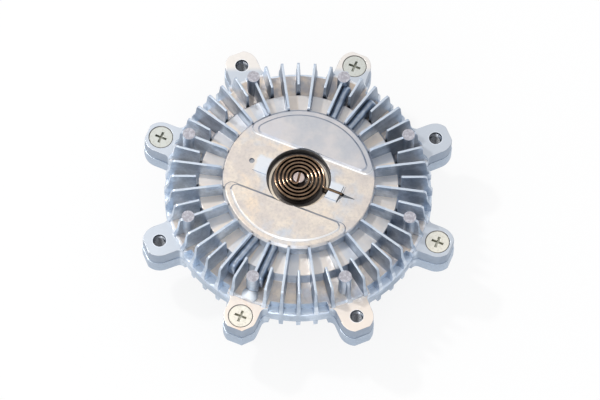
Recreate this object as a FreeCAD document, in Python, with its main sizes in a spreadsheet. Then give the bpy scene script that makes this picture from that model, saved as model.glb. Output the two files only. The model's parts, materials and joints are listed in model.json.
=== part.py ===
import FreeCAD, Part
import math
import os
from types import SimpleNamespace

import Sketcher

# Viscous fan clutch: a finned two-part casting that turns on a bearing round a flanged drive shaft.
# Frame: origin at the centre of the drive flange's back face, +Z along the axis towards the
# bimetal coil. The fan seat is the plane of the eight lug faces, SEAT above the flange's back face.
# Lengths are millimetres and angles are degrees.
SIZES = {
    # Drive shaft and flange
    "flange_thickness": 8.0,
    "flange_lobe_radius": 9.5,
    "flange_waist_radius": 29.0,
    "flange_bolt_circle": 32.0,
    "flange_hole_radius": 4.25,
    "flange_bolts": 4,
    "pilot_radius": 10.0,
    "pilot_depth": 6.0,
    "neck_step": 2.8,
    "neck_length": 5.0,
    "shaft_radius": 10.0,
    "rotor_seat_step": 1.0,
    "shaft_chamfer": 0.8,
    # Ball bearing
    "bearing_radius": 23.5,
    "bearing_width": 14.0,
    "ring_wall": 3.6,
    "shield_thickness": 0.8,
    "shield_inset": 0.4,
    "shield_clearance": 0.1,
    "snap_ring_thickness": 1.2,
    "snap_ring_width": 2.6,
    "snap_ring_depth": 1.0,
    "snap_ring_gap": 9.0,
    # Chamber, rim and lugs shared by both castings
    "chamber_radius": 62.5,
    "chamber_drop": 12.0,
    "wall": 3.5,
    "seal_land": 1.7,
    "seal_groove_width": 1.8,
    "seal_groove_depth": 1.4,
    "rim_land": 2.0,
    "rim_chamfer": 0.7,
    "lug_pairs": 4,
    "lug_offset": 8.0,
    "lug_half_width": 8.5,
    "lug_tip_flat": 8.0,
    "lug_fillet": 3.0,
    "front_lug_depth": 9.0,
    "rear_lug_depth": 8.5,
    "rear_lug_ledge": 0.4,
    "gate_trim_angle": 70.0,
    "fan_hole_radius": 3.4,
    # Front casting, heights above the fan seat
    "disc_radius": 38.8,
    "disc_height": 12.8,
    "disc_chamfer": 0.7,
    "terrace_radius": 50.5,
    "terrace_height": 5.5,
    "terrace_slope": 2.0,
    "floor_height": 0.7,
    "skirt_wall": 1.5,
    "ledge_drop": 4.9,
    "seat_inset": 0.7,
    "pad_height": 1.6,
    "pad_chord": 13.8,
    "pad_slope_angle": 45.0,
    "pad_corner": 4.6,
    "pad_overhang": 0.2,
    "pad_border": 4.2,
    "pad_step": 0.9,
    "disc_turn": 22.5,
    # Front fins and posts
    "fin_pairs": 24,
    "fin_height": 15.3,
    "fin_root_thickness": 2.5,
    "fin_top_thickness": 1.2,
    "fin_overhang": 1.0,
    "fin_belly": 1.0,
    "fin_toe": 0.2,
    "fin_corner": 2.0,
    "fin_inner_corner": 2.6,
    "short_fin_inset": 1.3,
    "post_inset": 3.75,
    "post_radius": 3.2,
    "post_height": 16.3,
    "gate_dome_inset": 3.8,
    "gate_dome_radius": 4.1,
    "gate_dome_flat": 0.7,
    # Coil recess in the front casting
    "recess_radius": 16.4,
    "recess_depth": 5.8,
    "rib_gap": 1.1,
    "rib_thickness": 1.5,
    "rib_height": 1.5,
    "anchor_height": 0.6,
    "anchor_length": 7.2,
    "anchor_half_width": 4.6,
    "slit_clearance": 0.275,
    "slit_overrun": 1.0,
    "stake_dimple_radius": 1.4,
    "stake_dimple_gap": 0.7,
    "stake_dimple_depth": 0.8,
    # Control pin, coil and valve
    "pin_radius": 3.0,
    "pin_clearance": 0.05,
    "pin_top": 1.4,
    "pin_chamfer": 0.4,
    "tongue_clearance": 0.075,
    "pin_slot_turn": 76.0,
    "pin_collar_step": 2.0,
    "pin_collar_height": 0.9,
    "pin_collar_gap": 0.8,
    "pin_tenon_step": 0.8,
    "pin_seal_rise": 1.3,
    "pin_seal_height": 1.3,
    "pin_seal_depth": 0.8,
    "boss_wall": 3.5,
    "reservoir_inset": 3.2,
    "strip_thickness": 0.95,
    "strip_lift": 0.5,
    "strip_top": 0.6,
    "coil_hub_gap": 0.275,
    "coil_rib_gap": 0.26,
    "coil_turns": 5,
    "tab_gap": 1.0,
    "arm_thickness": 1.2,
    "arm_half_width": 4.0,
    "arm_hub_margin": 1.5,
    "arm_end_radius": 6.0,
    "arm_end_gap": 1.5,
    # Partition plate
    "plate_thickness": 1.2,
    "plate_clearance": 0.15,
    "arm_clearance": 0.3,
    "plate_seat_inset": 2.0,
    "port_half_length": 4.0,
    "port_half_width": 2.0,
    "return_hole_radius": 1.5,
    "return_inset": 4.5,
    "return_channel_depth": 1.5,
    "return_holes": 2,
    # Rotor and labyrinth
    "rotor_rim_gap": 2.5,
    "rotor_top_gap": 0.5,
    "rotor_web": 3.4,
    "rotor_hub_margin": 1.9,
    "rotor_hub_drop": 2.5,
    "rotor_foot_inset": 1.0,
    "rotor_foot_height": 1.5,
    "rotor_floor_gap": 0.5,
    "ridge_count": 2,
    "ridge_width": 3.2,
    "ridge_gap": 0.6,
    "bleed_hole_radius": 3.0,
    "bleed_circle": 28.0,
    "bleed_holes": 6,
    # Rear casting
    "rear_rim_depth": 3.2,
    "rear_slope": 2.0,
    "bearing_wall": 5.0,
    "bearing_lip_thickness": 6.0,
    "boss_overhang": 2.2,
    "rear_fin_root_thickness": 2.4,
    "rear_fin_tip_thickness": 1.6,
    "rear_fin_inset": 0.6,
    "rear_fin_edge_height": 3.0,
    "rear_fin_hub_height": 8.5,
    "rear_fin_hub_offset": 5.5,
    "rear_short_fin_radius": 46.0,
    # Housing screws
    "screw_radius": 3.0,
    "screw_clearance": 0.05,
    "screw_head_radius": 6.0,
    "screw_head_sink": 0.3,
    "screw_length": 16.0,
    "screw_recess_depth": 2.2,
    "screw_recess_reach": 3.1,
    "screw_recess_width": 1.2,
    "countersink_angle": 45.0,
    "countersink_clearance": 0.05,
}

doc = FreeCAD.newDocument("FanClutch")


class Size:
    """A number with the spreadsheet expression that drives it."""

    def __init__(self, value, text):
        self.value = float(value)
        self.text = text

    @staticmethod
    def of(other):
        return other if isinstance(other, Size) else Size(other, str(other))

    def joined(self, sign, other, value):
        return Size(value, "(%s %s %s)" % (self.text, sign, other.text))

    def __add__(self, other):
        other = Size.of(other)
        return self.joined("+", other, self.value + other.value)

    def __sub__(self, other):
        other = Size.of(other)
        return self.joined("-", other, self.value - other.value)

    def __mul__(self, other):
        other = Size.of(other)
        return self.joined("*", other, self.value * other.value)

    def __truediv__(self, other):
        other = Size.of(other)
        return self.joined("/", other, self.value / other.value)

    def __radd__(self, other):
        return Size.of(other) + self

    def __rsub__(self, other):
        return Size.of(other) - self

    def __rmul__(self, other):
        return Size.of(other) * self

    def __rtruediv__(self, other):
        return Size.of(other) / self

    def __neg__(self):
        return Size(-self.value, "(-1 * %s)" % self.text)


def root(size):
    return Size(math.sqrt(size.value), "sqrt(%s)" % size.text)


def sine(size):
    return Size(math.sin(math.radians(size.value)), "sin(%s)" % size.text)


def cosine(size):
    return Size(math.cos(math.radians(size.value)), "cos(%s)" % size.text)


def write_sheet():
    """The sheet of driving dimensions, and a name for each of its cells."""
    sheet = doc.addObject("Spreadsheet::Sheet", "Sizes")
    for row, (name, number) in enumerate(SIZES.items(), start=1):
        sheet.set("A%d" % row, name)
        sheet.set("B%d" % row, str(number))
        sheet.setAlias("B%d" % row, name)
    doc.recompute()
    return SimpleNamespace(**{name: Size(sheet.get(name), "Sizes." + name) for name in SIZES})


S = write_sheet()

# Heights that the sub-parts share
BEARING_BACK = S.flange_thickness + S.neck_length
BEARING_FRONT = BEARING_BACK + S.bearing_width
CHAMBER_FLOOR = BEARING_FRONT + S.bearing_lip_thickness
REAR_FACE = CHAMBER_FLOOR - S.wall
SEAT = CHAMBER_FLOOR + S.chamber_drop
PARTING = SEAT - S.front_lug_depth
FLOOR = SEAT + S.floor_height
TERRACE = SEAT + S.terrace_height
BAND = SEAT + S.disc_height
RECESS_FLOOR = BAND - S.recess_depth
PLATE_TOP = FLOOR - S.wall
PLATE_BOTTOM = PLATE_TOP - S.plate_thickness
ROTOR_TOP = PLATE_BOTTOM - S.rotor_top_gap
ROTOR_HUB_TOP = ROTOR_TOP - S.rotor_hub_drop
ARM_BOTTOM = PLATE_TOP + S.arm_clearance
ARM_TOP = ARM_BOTTOM + S.arm_thickness
COLLAR_TOP = ARM_TOP + S.pin_collar_height
BOSS_END = COLLAR_TOP + S.pin_collar_gap
PIN_SEAL_LOW = BOSS_END + S.pin_seal_rise

# Radii that the sub-parts share
SEAL_GROOVE = S.chamber_radius + S.seal_land
RIM = SEAL_GROOVE + S.seal_groove_width + S.rim_land
LUG_CIRCLE = RIM + S.lug_offset
FLOOR_RADIUS = S.chamber_radius + S.skirt_wall
POST_CIRCLE = FLOOR_RADIUS - S.post_inset
PLATE_SEAT = S.terrace_radius - S.plate_seat_inset
PORT_CIRCLE = PLATE_SEAT - S.arm_end_gap - S.arm_end_radius
RETURN_CIRCLE = S.chamber_radius - S.return_inset
ROTOR_RADIUS = S.chamber_radius - S.rotor_rim_gap
ROTOR_SEAT = S.shaft_radius - S.rotor_seat_step
INNER_RING = S.shaft_radius + S.ring_wall
OUTER_RING_BORE = S.bearing_radius - S.ring_wall
BEARING_BOSS = S.bearing_radius + S.bearing_wall
COLLAR_RADIUS = S.pin_radius + S.pin_collar_step
TENON_RADIUS = S.pin_radius - S.pin_tenon_step
RIB_OUTER = S.recess_radius - S.rib_gap
RIB_INNER = RIB_OUTER - S.rib_thickness
ANCHOR_FAR = S.recess_radius + S.anchor_length
SLIT_END = ANCHOR_FAR + S.slit_overrun

# Angles between the lugs and between the fins
LUG_STEP = 360 / (2 * S.lug_pairs)
HALF_LUG_STEP = LUG_STEP / 2
SCREW_LUG_TURN = HALF_LUG_STEP + LUG_STEP
FIN_STEP = 360 / S.fin_pairs
# The lug at the casting gate, counted round from the first, with its trimmed tip and its dome
GATE_LUG = 5
GATE_TURN = HALF_LUG_STEP + GATE_LUG * LUG_STEP
# How far a cutting outline passes what it cuts
CUT_MARGIN = 5.0


def bind(feature, name, size):
    """Set a property, and bind it to the sheet."""
    size = Size.of(size)
    setattr(feature, name, size.value)
    feature.setExpression(name, size.text)


def origin_item(body, role):
    return next(item for item in body.Origin.OriginFeatures if item.Role == role)


def new_body(name):
    body = doc.addObject("PartDesign::Body", name)
    body.Label = name
    body.AllowCompound = True
    return body


def new_sketch(body, name, plane, lift=0, turn=0):
    """A sketch on an origin plane, lifted along the plane's normal and turned about it."""
    lift = Size.of(lift)
    turn = Size.of(turn)
    sketch = body.newObject("Sketcher::SketchObject", name)
    sketch.AttachmentSupport = (origin_item(body, plane), [""])
    sketch.MapMode = "FlatFace"
    sketch.AttachmentOffset = FreeCAD.Placement(
        FreeCAD.Vector(0, 0, lift.value),
        FreeCAD.Rotation(FreeCAD.Vector(0, 0, 1), turn.value),
    )
    sketch.setExpression(".AttachmentOffset.Base.z", lift.text)
    sketch.setExpression(".AttachmentOffset.Rotation.Angle", turn.text)
    return sketch


def turned_sketch(body, name, plane, lift, turn):
    """A sketch on an upright origin plane that is lifted along its normal and turned about +Z."""
    lift = Size.of(lift)
    turn = Size.of(turn)
    sketch = new_sketch(body, name, plane)
    across = lift * sine(turn)
    along = lift * cosine(turn)
    sketch.AttachmentOffset = FreeCAD.Placement(
        FreeCAD.Vector(across.value, 0, along.value),
        FreeCAD.Rotation(FreeCAD.Vector(0, 1, 0), turn.value),
    )
    sketch.setExpression(".AttachmentOffset.Base.x", across.text)
    sketch.setExpression(".AttachmentOffset.Base.z", along.text)
    sketch.setExpression(".AttachmentOffset.Rotation.Angle", turn.text)
    return sketch


def hold_point(sketch, edge, end, point):
    """Bind an edge's end to its two coordinates; a plain 0 puts it on the axis."""
    for kind, axis, size in (("DistanceX", -2, point[0]), ("DistanceY", -1, point[1])):
        size = Size.of(size)
        if size.text == "0":
            sketch.addConstraint(Sketcher.Constraint("PointOnObject", edge, end, axis))
        else:
            index = sketch.addConstraint(Sketcher.Constraint(kind, -1, 1, edge, end, size.value))
            sketch.setExpression("Constraints[%d]" % index, size.text)


def arc_between(start, end, radius):
    """The short arc from start to end; a positive radius turns anticlockwise."""
    half_x = (end[0] - start[0]) / 2
    half_y = (end[1] - start[1]) / 2
    half_chord = math.hypot(half_x, half_y)
    rise = math.sqrt(max(radius**2 - half_chord**2, 0.0)) * (1 if radius > 0 else -1)
    centre = (
        start[0] + half_x - half_y / half_chord * rise,
        start[1] + half_y + half_x / half_chord * rise,
    )
    first, last = (start, end) if radius > 0 else (end, start)
    circle = Part.Circle(FreeCAD.Vector(*centre, 0), FreeCAD.Vector(0, 0, 1), abs(radius))
    from_angle = math.atan2(first[1] - centre[1], first[0] - centre[0])
    to_angle = math.atan2(last[1] - centre[1], last[0] - centre[0])
    return Part.ArcOfCircle(circle, from_angle, to_angle)


def outline(sketch, corners):
    """A closed outline. A corner is (x, y), or (x, y, radius) where an arc arrives at it."""
    count = len(corners)
    points = [tuple(Size.of(value).value for value in corner[:2]) for corner in corners]
    edges = []
    for index in range(count):
        after = (index + 1) % count
        if len(corners[after]) == 3:
            radius = corners[after][2]
            arc = arc_between(points[index], points[after], radius.value)
            edge = sketch.addGeometry(arc, False)
            start, end = (1, 2) if radius.value > 0 else (2, 1)
        else:
            line = Part.LineSegment(
                FreeCAD.Vector(*points[index], 0), FreeCAD.Vector(*points[after], 0)
            )
            edge = sketch.addGeometry(line, False)
            radius = None
            start, end = 1, 2
        edges.append((edge, start, end, radius))
    for index, (edge, start, end, radius) in enumerate(edges):
        following = edges[(index + 1) % count]
        sketch.addConstraint(
            Sketcher.Constraint("Coincident", edge, end, following[0], following[1])
        )
        hold_point(sketch, edge, start, corners[index])
        if radius is not None:
            size = radius if radius.value > 0 else -radius
            held = sketch.addConstraint(Sketcher.Constraint("Radius", edge, size.value))
            sketch.setExpression("Constraints[%d]" % held, size.text)


def circle(sketch, x, y, radius):
    x = Size.of(x)
    y = Size.of(y)
    centre = FreeCAD.Vector(x.value, y.value, 0)
    edge = sketch.addGeometry(
        Part.Circle(centre, FreeCAD.Vector(0, 0, 1), radius.value), False
    )
    held = sketch.addConstraint(Sketcher.Constraint("Radius", edge, radius.value))
    sketch.setExpression("Constraints[%d]" % held, radius.text)
    hold_point(sketch, edge, 3, (x, y))


def rectangle(sketch, left, right, half_width, middle=0):
    outline(
        sketch,
        [
            (left, middle - half_width),
            (right, middle - half_width),
            (right, middle + half_width),
            (left, middle + half_width),
        ],
    )


def turned(body, kind, name, corners):
    """Revolve (Revolution) or turn away (Groove) a half section about the axis."""
    sketch = new_sketch(body, name + "_section", "XZ_Plane")
    outline(sketch, corners)
    feature = body.newObject("PartDesign::" + kind, name)
    feature.Profile = sketch
    feature.ReferenceAxis = (origin_item(body, "Z_Axis"), [""])
    feature.Angle = 360
    body.Tip = feature
    return feature


def pad(body, sketch, name, length, draft=0):
    feature = body.newObject("PartDesign::Pad", name)
    feature.Profile = sketch
    bind(feature, "Length", length)
    bind(feature, "TaperAngle", -Size.of(draft) if draft else 0)
    body.Tip = feature
    return feature


def pocket(body, sketch, name, depth):
    """Cut down from the sketch, along -Z."""
    feature = body.newObject("PartDesign::Pocket", name)
    feature.Profile = sketch
    bind(feature, "Length", depth)
    body.Tip = feature
    return feature


def around(body, features, name, count):
    """Repeat features about the axis, or the body's whole shape where none are given."""
    doc.recompute()
    feature = body.newObject("PartDesign::PolarPattern", name)
    feature.Originals = features
    if not features:
        feature.TransformMode = "Whole shape"
    feature.Axis = (origin_item(body, "Z_Axis"), [""])
    feature.Angle = 360
    count = Size.of(count)
    feature.Occurrences = int(count.value)
    feature.setExpression("Occurrences", count.text)
    body.Tip = feature
    return feature


def stand(body, x, y, z, turn=0):
    """Place a body, bound to the sheet."""
    values = [Size.of(value) for value in (x, y, z, turn)]
    body.Placement = FreeCAD.Placement(
        FreeCAD.Vector(*(size.value for size in values[:3])),
        FreeCAD.Rotation(FreeCAD.Vector(0, 0, 1), values[3].value),
    )
    for path, size in zip(("Base.x", "Base.y", "Base.z", "Rotation.Angle"), values):
        body.setExpression(".Placement." + path, size.text)


def lug_flat():
    return S.lug_tip_flat / 2


def lug_reach(half_width):
    """How far a lug's flat tip lies beyond the lug circle."""
    return root(half_width * half_width - lug_flat() * lug_flat())


def lug_outline(sketch, half_width):
    """A lug in plan: fillets out of the rim, parallel sides, and a round end with a flat tip."""
    fillet = S.lug_fillet
    outside = RIM + fillet
    fillet_y = half_width + fillet
    fillet_x = root(outside * outside - fillet_y * fillet_y)
    shrink = RIM / outside
    foot_x = fillet_x * shrink
    foot_y = fillet_y * shrink
    tip = LUG_CIRCLE + lug_reach(half_width)
    outline(
        sketch,
        [
            (S.chamber_radius, -foot_y),
            (foot_x, -foot_y),
            (fillet_x, -half_width, -fillet),
            (LUG_CIRCLE, -half_width),
            (tip, -lug_flat(), half_width),
            (tip, lug_flat()),
            (LUG_CIRCLE, half_width, half_width),
            (fillet_x, half_width),
            (foot_x, foot_y, -fillet),
            (S.chamber_radius, foot_y),
        ],
    )


def lug_trim(body, name, half_width, top, depth):
    """The gate lug's round end is trimmed straight, from its flat tip to a point on the round."""
    plan = new_sketch(body, name + "_plan", "XY_Plane", lift=top, turn=GATE_TURN)
    tip = LUG_CIRCLE + lug_reach(half_width)
    end_x = LUG_CIRCLE + half_width * cosine(S.gate_trim_angle)
    end_y = half_width * sine(S.gate_trim_angle)
    outside = half_width + CUT_MARGIN
    outline(
        plan,
        [
            (tip, lug_flat()),
            (tip + CUT_MARGIN, lug_flat()),
            (tip + CUT_MARGIN, outside),
            (end_x, outside),
            (end_x, end_y),
        ],
    )
    pocket(body, plan, name, depth)


def merge(body, tool, name):
    """Fuse another body into this one."""
    feature = body.newObject("PartDesign::Boolean", name)
    feature.Type = "Fuse"
    feature.setObjects([tool])
    body.Tip = feature
    return feature


def fin(body, name, turn, reach, heights, halves, cuts):
    """A fin at an angle: its drafted section padded outwards, then cut to its side view."""
    low, high = heights
    half_low, half_high = halves
    start, stop = reach
    section = turned_sketch(body, name + "_section", "YZ_Plane", start, turn)
    outline(section, [(-half_low, low), (half_low, low), (half_high, high), (-half_high, high)])
    pad(body, section, name, stop - start)
    side = turned_sketch(body, name + "_side", "XZ_Plane", S.fin_root_thickness, turn)
    for corners in cuts:
        outline(side, corners)
    pocket(body, side, name + "_trim", 2 * S.fin_root_thickness)


def front_fins():
    """A short and a long fin, cut to their side views and then repeated all round."""
    body = new_body("front_fins")
    toe = SEAT - S.ledge_drop
    crest = SEAT + S.fin_height
    high = crest + CUT_MARGIN
    low = toe - CUT_MARGIN
    fin_outer = FLOOR_RADIUS + S.fin_overhang
    fin_toe = RIM + S.fin_toe
    wide = fin_toe + CUT_MARGIN
    outer_side = [
        (fin_toe, low),
        (wide + CUT_MARGIN, low),
        (wide + CUT_MARGIN, high),
        (fin_outer - S.fin_corner, high),
        (fin_outer - S.fin_corner, crest),
        (fin_outer, crest - S.fin_corner, -S.fin_corner),
        (fin_outer + S.fin_belly, TERRACE),
        (fin_toe, SEAT),
    ]
    inner_end = S.disc_radius - S.disc_chamfer / 2
    inner_corner = inner_end + S.fin_inner_corner
    inner_side = [
        (inner_end - CUT_MARGIN, BAND - S.disc_chamfer),
        (inner_end, BAND - S.disc_chamfer),
        (inner_end, crest - S.fin_inner_corner),
        (inner_corner, crest, -S.fin_inner_corner),
        (inner_corner, high),
        (inner_end - CUT_MARGIN, high),
    ]
    # Below the floor and the terrace the fins stop inside the casting's wall
    inside_floor = FLOOR - S.wall / 2
    inside_terrace = TERRACE - S.wall / 2
    inside_rim = S.chamber_radius + S.skirt_wall / 2
    under_side = [
        (inner_end - CUT_MARGIN, low),
        (inside_rim, low),
        (inside_rim, inside_floor),
        (S.terrace_radius, inside_floor),
        (S.terrace_radius, inside_terrace),
        (inner_end - CUT_MARGIN, inside_terrace),
    ]
    heights = (toe, crest)
    halves = (S.fin_root_thickness / 2, S.fin_top_thickness / 2)
    short_reach = (S.terrace_radius + S.short_fin_inset, wide)
    long_reach = (S.disc_radius - S.disc_chamfer, wide)
    fin(body, "short_fin", 0, short_reach, heights, halves, [outer_side, under_side])
    long_cuts = [outer_side, inner_side, under_side]
    fin(body, "long_fin", FIN_STEP / 2, long_reach, heights, halves, long_cuts)
    around(body, [], "front_fin_ring", S.fin_pairs)
    # The fin at the gate lug stops at its post
    stop = new_sketch(body, "gate_fin_plan", "XY_Plane", lift=high, turn=GATE_TURN)
    rectangle(stop, POST_CIRCLE, wide + CUT_MARGIN, S.fin_root_thickness)
    pocket(body, stop, "gate_fin_stop", high - low)
    return body


def disc_pad_outline(sketch, radius):
    """A D in plan: a chord across the disc, round corners, and an arc about the axis."""
    corner = S.pad_corner
    chord = S.pad_chord
    centre_y = chord + corner
    centre_x = root((radius - corner) * (radius - corner) - centre_y * centre_y)
    shrink = radius / (radius - corner)
    outline(
        sketch,
        [
            (-centre_x, chord, corner),
            (centre_x, chord),
            (centre_x * shrink, centre_y * shrink, corner),
            (0, radius, radius),
            (-centre_x * shrink, centre_y * shrink, radius),
        ],
    )


def front_disc(body):
    """The two raised D pads, each a plateau above a border along the disc's edge, and the anchors."""
    base = BAND - S.disc_chamfer
    rise = S.pad_height + S.disc_chamfer
    forms = (
        ("border", S.disc_radius + S.pad_overhang, rise - S.pad_step),
        ("plateau", S.disc_radius - S.pad_border + rise, rise),
    )
    for name, side in (("upper", 0), ("lower", 180)):
        for form, radius, height in forms:
            sketch = new_sketch(
                body, name + "_" + form + "_plan", "XY_Plane", lift=base, turn=side - S.disc_turn
            )
            disc_pad_outline(sketch, radius)
            pad(body, sketch, name + "_" + form, height, S.pad_slope_angle)
    for name, side in (("coil", 0), ("spare", 180)):
        sketch = new_sketch(
            body, name + "_anchor_plan", "XY_Plane", lift=BAND - S.anchor_height, turn=side - S.disc_turn
        )
        rectangle(sketch, RIB_INNER, ANCHOR_FAR, S.anchor_half_width)
        pad(body, sketch, name + "_anchor", 2 * S.anchor_height)
    dimple = new_sketch(body, "stake_dimple_plan", "XY_Plane", lift=BAND, turn=180 - S.disc_turn)
    circle(dimple, ANCHOR_FAR + S.stake_dimple_gap + S.stake_dimple_radius, 0, S.stake_dimple_radius)
    pocket(body, dimple, "stake_dimple", S.stake_dimple_depth)


def gate_dome(body):
    """A half-round dome between the gate lug's post and its seat face."""
    centre = RIM - S.gate_dome_inset
    section = turned_sketch(body, "gate_dome_section", "YZ_Plane", centre, GATE_TURN)
    reach = S.gate_dome_radius
    flat = S.gate_dome_flat
    top = FLOOR + root(reach * reach - flat * flat)
    outline(section, [(0, FLOOR), (reach, FLOOR), (flat, top, reach), (0, top)])
    dome = body.newObject("PartDesign::Revolution", "gate_dome")
    dome.Profile = section
    dome.ReferenceAxis = (section, ["V_Axis"])
    dome.Angle = 360
    body.Tip = dome


def front_housing():
    fins = front_fins()
    body = new_body("front_housing")
    ledge = SEAT - S.ledge_drop
    turned(
        body,
        "Revolution",
        "front_casting",
        [
            (0, PARTING),
            (RIM, PARTING),
            (RIM, ledge - S.rim_chamfer),
            (RIM - S.rim_chamfer, ledge),
            (FLOOR_RADIUS, ledge),
            (FLOOR_RADIUS, FLOOR),
            (S.terrace_radius + S.terrace_slope, FLOOR),
            (S.terrace_radius, TERRACE),
            (S.disc_radius, TERRACE),
            (S.disc_radius, BAND - S.disc_chamfer),
            (S.disc_radius - S.disc_chamfer, BAND),
            (0, BAND),
        ],
    )
    front_disc(body)

    lug_plan = new_sketch(body, "front_lug_plan", "XY_Plane", lift=PARTING, turn=HALF_LUG_STEP)
    lug_outline(lug_plan, S.lug_half_width)
    lug = pad(body, lug_plan, "front_lug", S.front_lug_depth + S.floor_height)
    around(body, [lug], "front_lugs", 2 * S.lug_pairs)
    lug_trim(body, "front_lug_trim", S.lug_half_width, FLOOR, FLOOR - PARTING + CUT_MARGIN)
    gate_dome(body)
    seat_edge = RIM - S.seat_inset
    outside = LUG_CIRCLE + S.lug_half_width + CUT_MARGIN
    above_dome = FLOOR + S.gate_dome_radius + CUT_MARGIN
    seat_cut = [(seat_edge, SEAT), (outside, SEAT), (outside, above_dome), (seat_edge, above_dome)]
    turned(body, "Groove", "seat_faces", seat_cut)
    post_plan = new_sketch(body, "post_plan", "XY_Plane", lift=SEAT, turn=HALF_LUG_STEP)
    circle(post_plan, POST_CIRCLE, 0, S.post_radius)
    post = pad(body, post_plan, "post", S.post_height)
    around(body, [post], "posts", 2 * S.lug_pairs)

    # The chamber: reservoir under the disc, coil floor and pin boss at its centre
    reservoir = S.disc_radius - S.reservoir_inset
    ceiling = BAND - S.wall
    terrace_ceiling = TERRACE - S.wall
    boss_foot = RECESS_FLOOR - S.wall
    boss_radius = S.pin_radius + S.boss_wall
    well_wall = S.recess_radius + S.wall
    turned(
        body,
        "Groove",
        "chamber",
        [
            (0, PARTING - CUT_MARGIN),
            (S.chamber_radius, PARTING - CUT_MARGIN),
            (S.chamber_radius, PLATE_TOP),
            (PLATE_SEAT, PLATE_TOP),
            (PLATE_SEAT, terrace_ceiling),
            (reservoir, terrace_ceiling),
            (reservoir, ceiling),
            (well_wall, ceiling),
            (well_wall, boss_foot),
            (boss_radius, boss_foot),
            (boss_radius, BOSS_END),
            (0, BOSS_END),
        ],
    )
    channel_top = PLATE_TOP + S.return_channel_depth
    channel_plan = new_sketch(
        body, "return_channel_plan", "XY_Plane", lift=channel_top, turn=HALF_LUG_STEP
    )
    channel_end = RETURN_CIRCLE + S.return_hole_radius
    rectangle(channel_plan, PLATE_SEAT - CUT_MARGIN, channel_end, S.return_hole_radius)
    channel = pocket(body, channel_plan, "return_channel", S.return_channel_depth)
    around(body, [channel], "return_channels", S.return_holes)
    rib_top = RECESS_FLOOR + S.rib_height
    above = BAND + S.pad_height + CUT_MARGIN
    turned(
        body,
        "Groove",
        "coil_recess",
        [
            (0, RECESS_FLOOR),
            (RIB_INNER, RECESS_FLOOR),
            (RIB_INNER, rib_top),
            (RIB_OUTER, rib_top),
            (RIB_OUTER, RECESS_FLOOR),
            (S.recess_radius, RECESS_FLOOR),
            (S.recess_radius, above),
            (0, above),
        ],
    )
    bore = new_sketch(body, "pin_bore_plan", "XY_Plane", lift=above)
    circle(bore, 0, 0, S.pin_radius + S.pin_clearance)
    pocket(body, bore, "pin_bore", above - PARTING)
    slit = new_sketch(body, "anchor_slit_plan", "XY_Plane", lift=above, turn=-S.disc_turn)
    slit_half = S.strip_thickness / 2 + S.slit_clearance
    rectangle(slit, RIB_INNER - slit_half, SLIT_END, slit_half)
    pocket(body, slit, "anchor_slit", above - RECESS_FLOOR)

    fan_hole = new_sketch(body, "fan_hole_plan", "XY_Plane", lift=above, turn=HALF_LUG_STEP)
    circle(fan_hole, LUG_CIRCLE, 0, S.fan_hole_radius)
    tapped = pocket(body, fan_hole, "fan_hole", above - PARTING + CUT_MARGIN)
    around(body, [tapped], "fan_holes", S.lug_pairs)
    screw_hole = new_sketch(body, "screw_hole_plan", "XY_Plane", lift=above, turn=SCREW_LUG_TURN)
    circle(screw_hole, LUG_CIRCLE, 0, S.screw_radius + S.screw_clearance)
    clear = pocket(body, screw_hole, "screw_hole", above - PARTING + CUT_MARGIN)
    sink = new_sketch(body, "countersink_plan", "XY_Plane", lift=SEAT, turn=SCREW_LUG_TURN)
    sink_radius = S.screw_head_radius + S.screw_head_sink + S.countersink_clearance
    circle(sink, LUG_CIRCLE, 0, sink_radius)
    cone = pocket(body, sink, "countersink", sink_radius - S.screw_radius)
    bind(cone, "TaperAngle", -S.countersink_angle)
    around(body, [clear, cone], "screw_holes", S.lug_pairs)
    merge(body, fins, "front_fins_joined")
    return body


def ridge_steps(first_radius, base, tip, gap_side):
    """Corners of the annular ridges, from the outermost inwards, each one ridge and one groove."""
    pitch = 2 * (S.ridge_width + S.ridge_gap)
    corners = []
    for index in range(int(S.ridge_count.value)):
        outer = first_radius - gap_side - pitch * index
        inner = outer - S.ridge_width
        corners += [(outer, base), (outer, tip), (inner, tip), (inner, base)]
    return corners


def rear_fins():
    """A short and a long fin behind the back wall, cut along the rim and repeated all round."""
    body = new_body("rear_fins")
    outer = RIM - S.rear_fin_inset
    wide = outer + CUT_MARGIN
    hub = BEARING_BOSS + S.rear_fin_hub_offset
    low = REAR_FACE - S.rear_fin_hub_height
    high = REAR_FACE + S.wall / 2
    heights = (low, high)
    halves = (S.rear_fin_tip_thickness / 2, S.rear_fin_root_thickness / 2)
    edge_cut = [
        (hub, low - CUT_MARGIN),
        (wide + CUT_MARGIN, low - CUT_MARGIN),
        (wide + CUT_MARGIN, PARTING),
        (outer, PARTING),
        (outer, REAR_FACE - S.rear_fin_edge_height),
        (hub, low),
    ]
    for name, start, turn in (
        ("rear_short_fin", S.rear_short_fin_radius, 0),
        ("rear_long_fin", BEARING_BOSS - S.wall / 2, FIN_STEP / 2),
    ):
        fin(body, name, turn, (start, wide), heights, halves, [edge_cut])
    around(body, [], "rear_fin_ring", S.fin_pairs)
    return body


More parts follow.
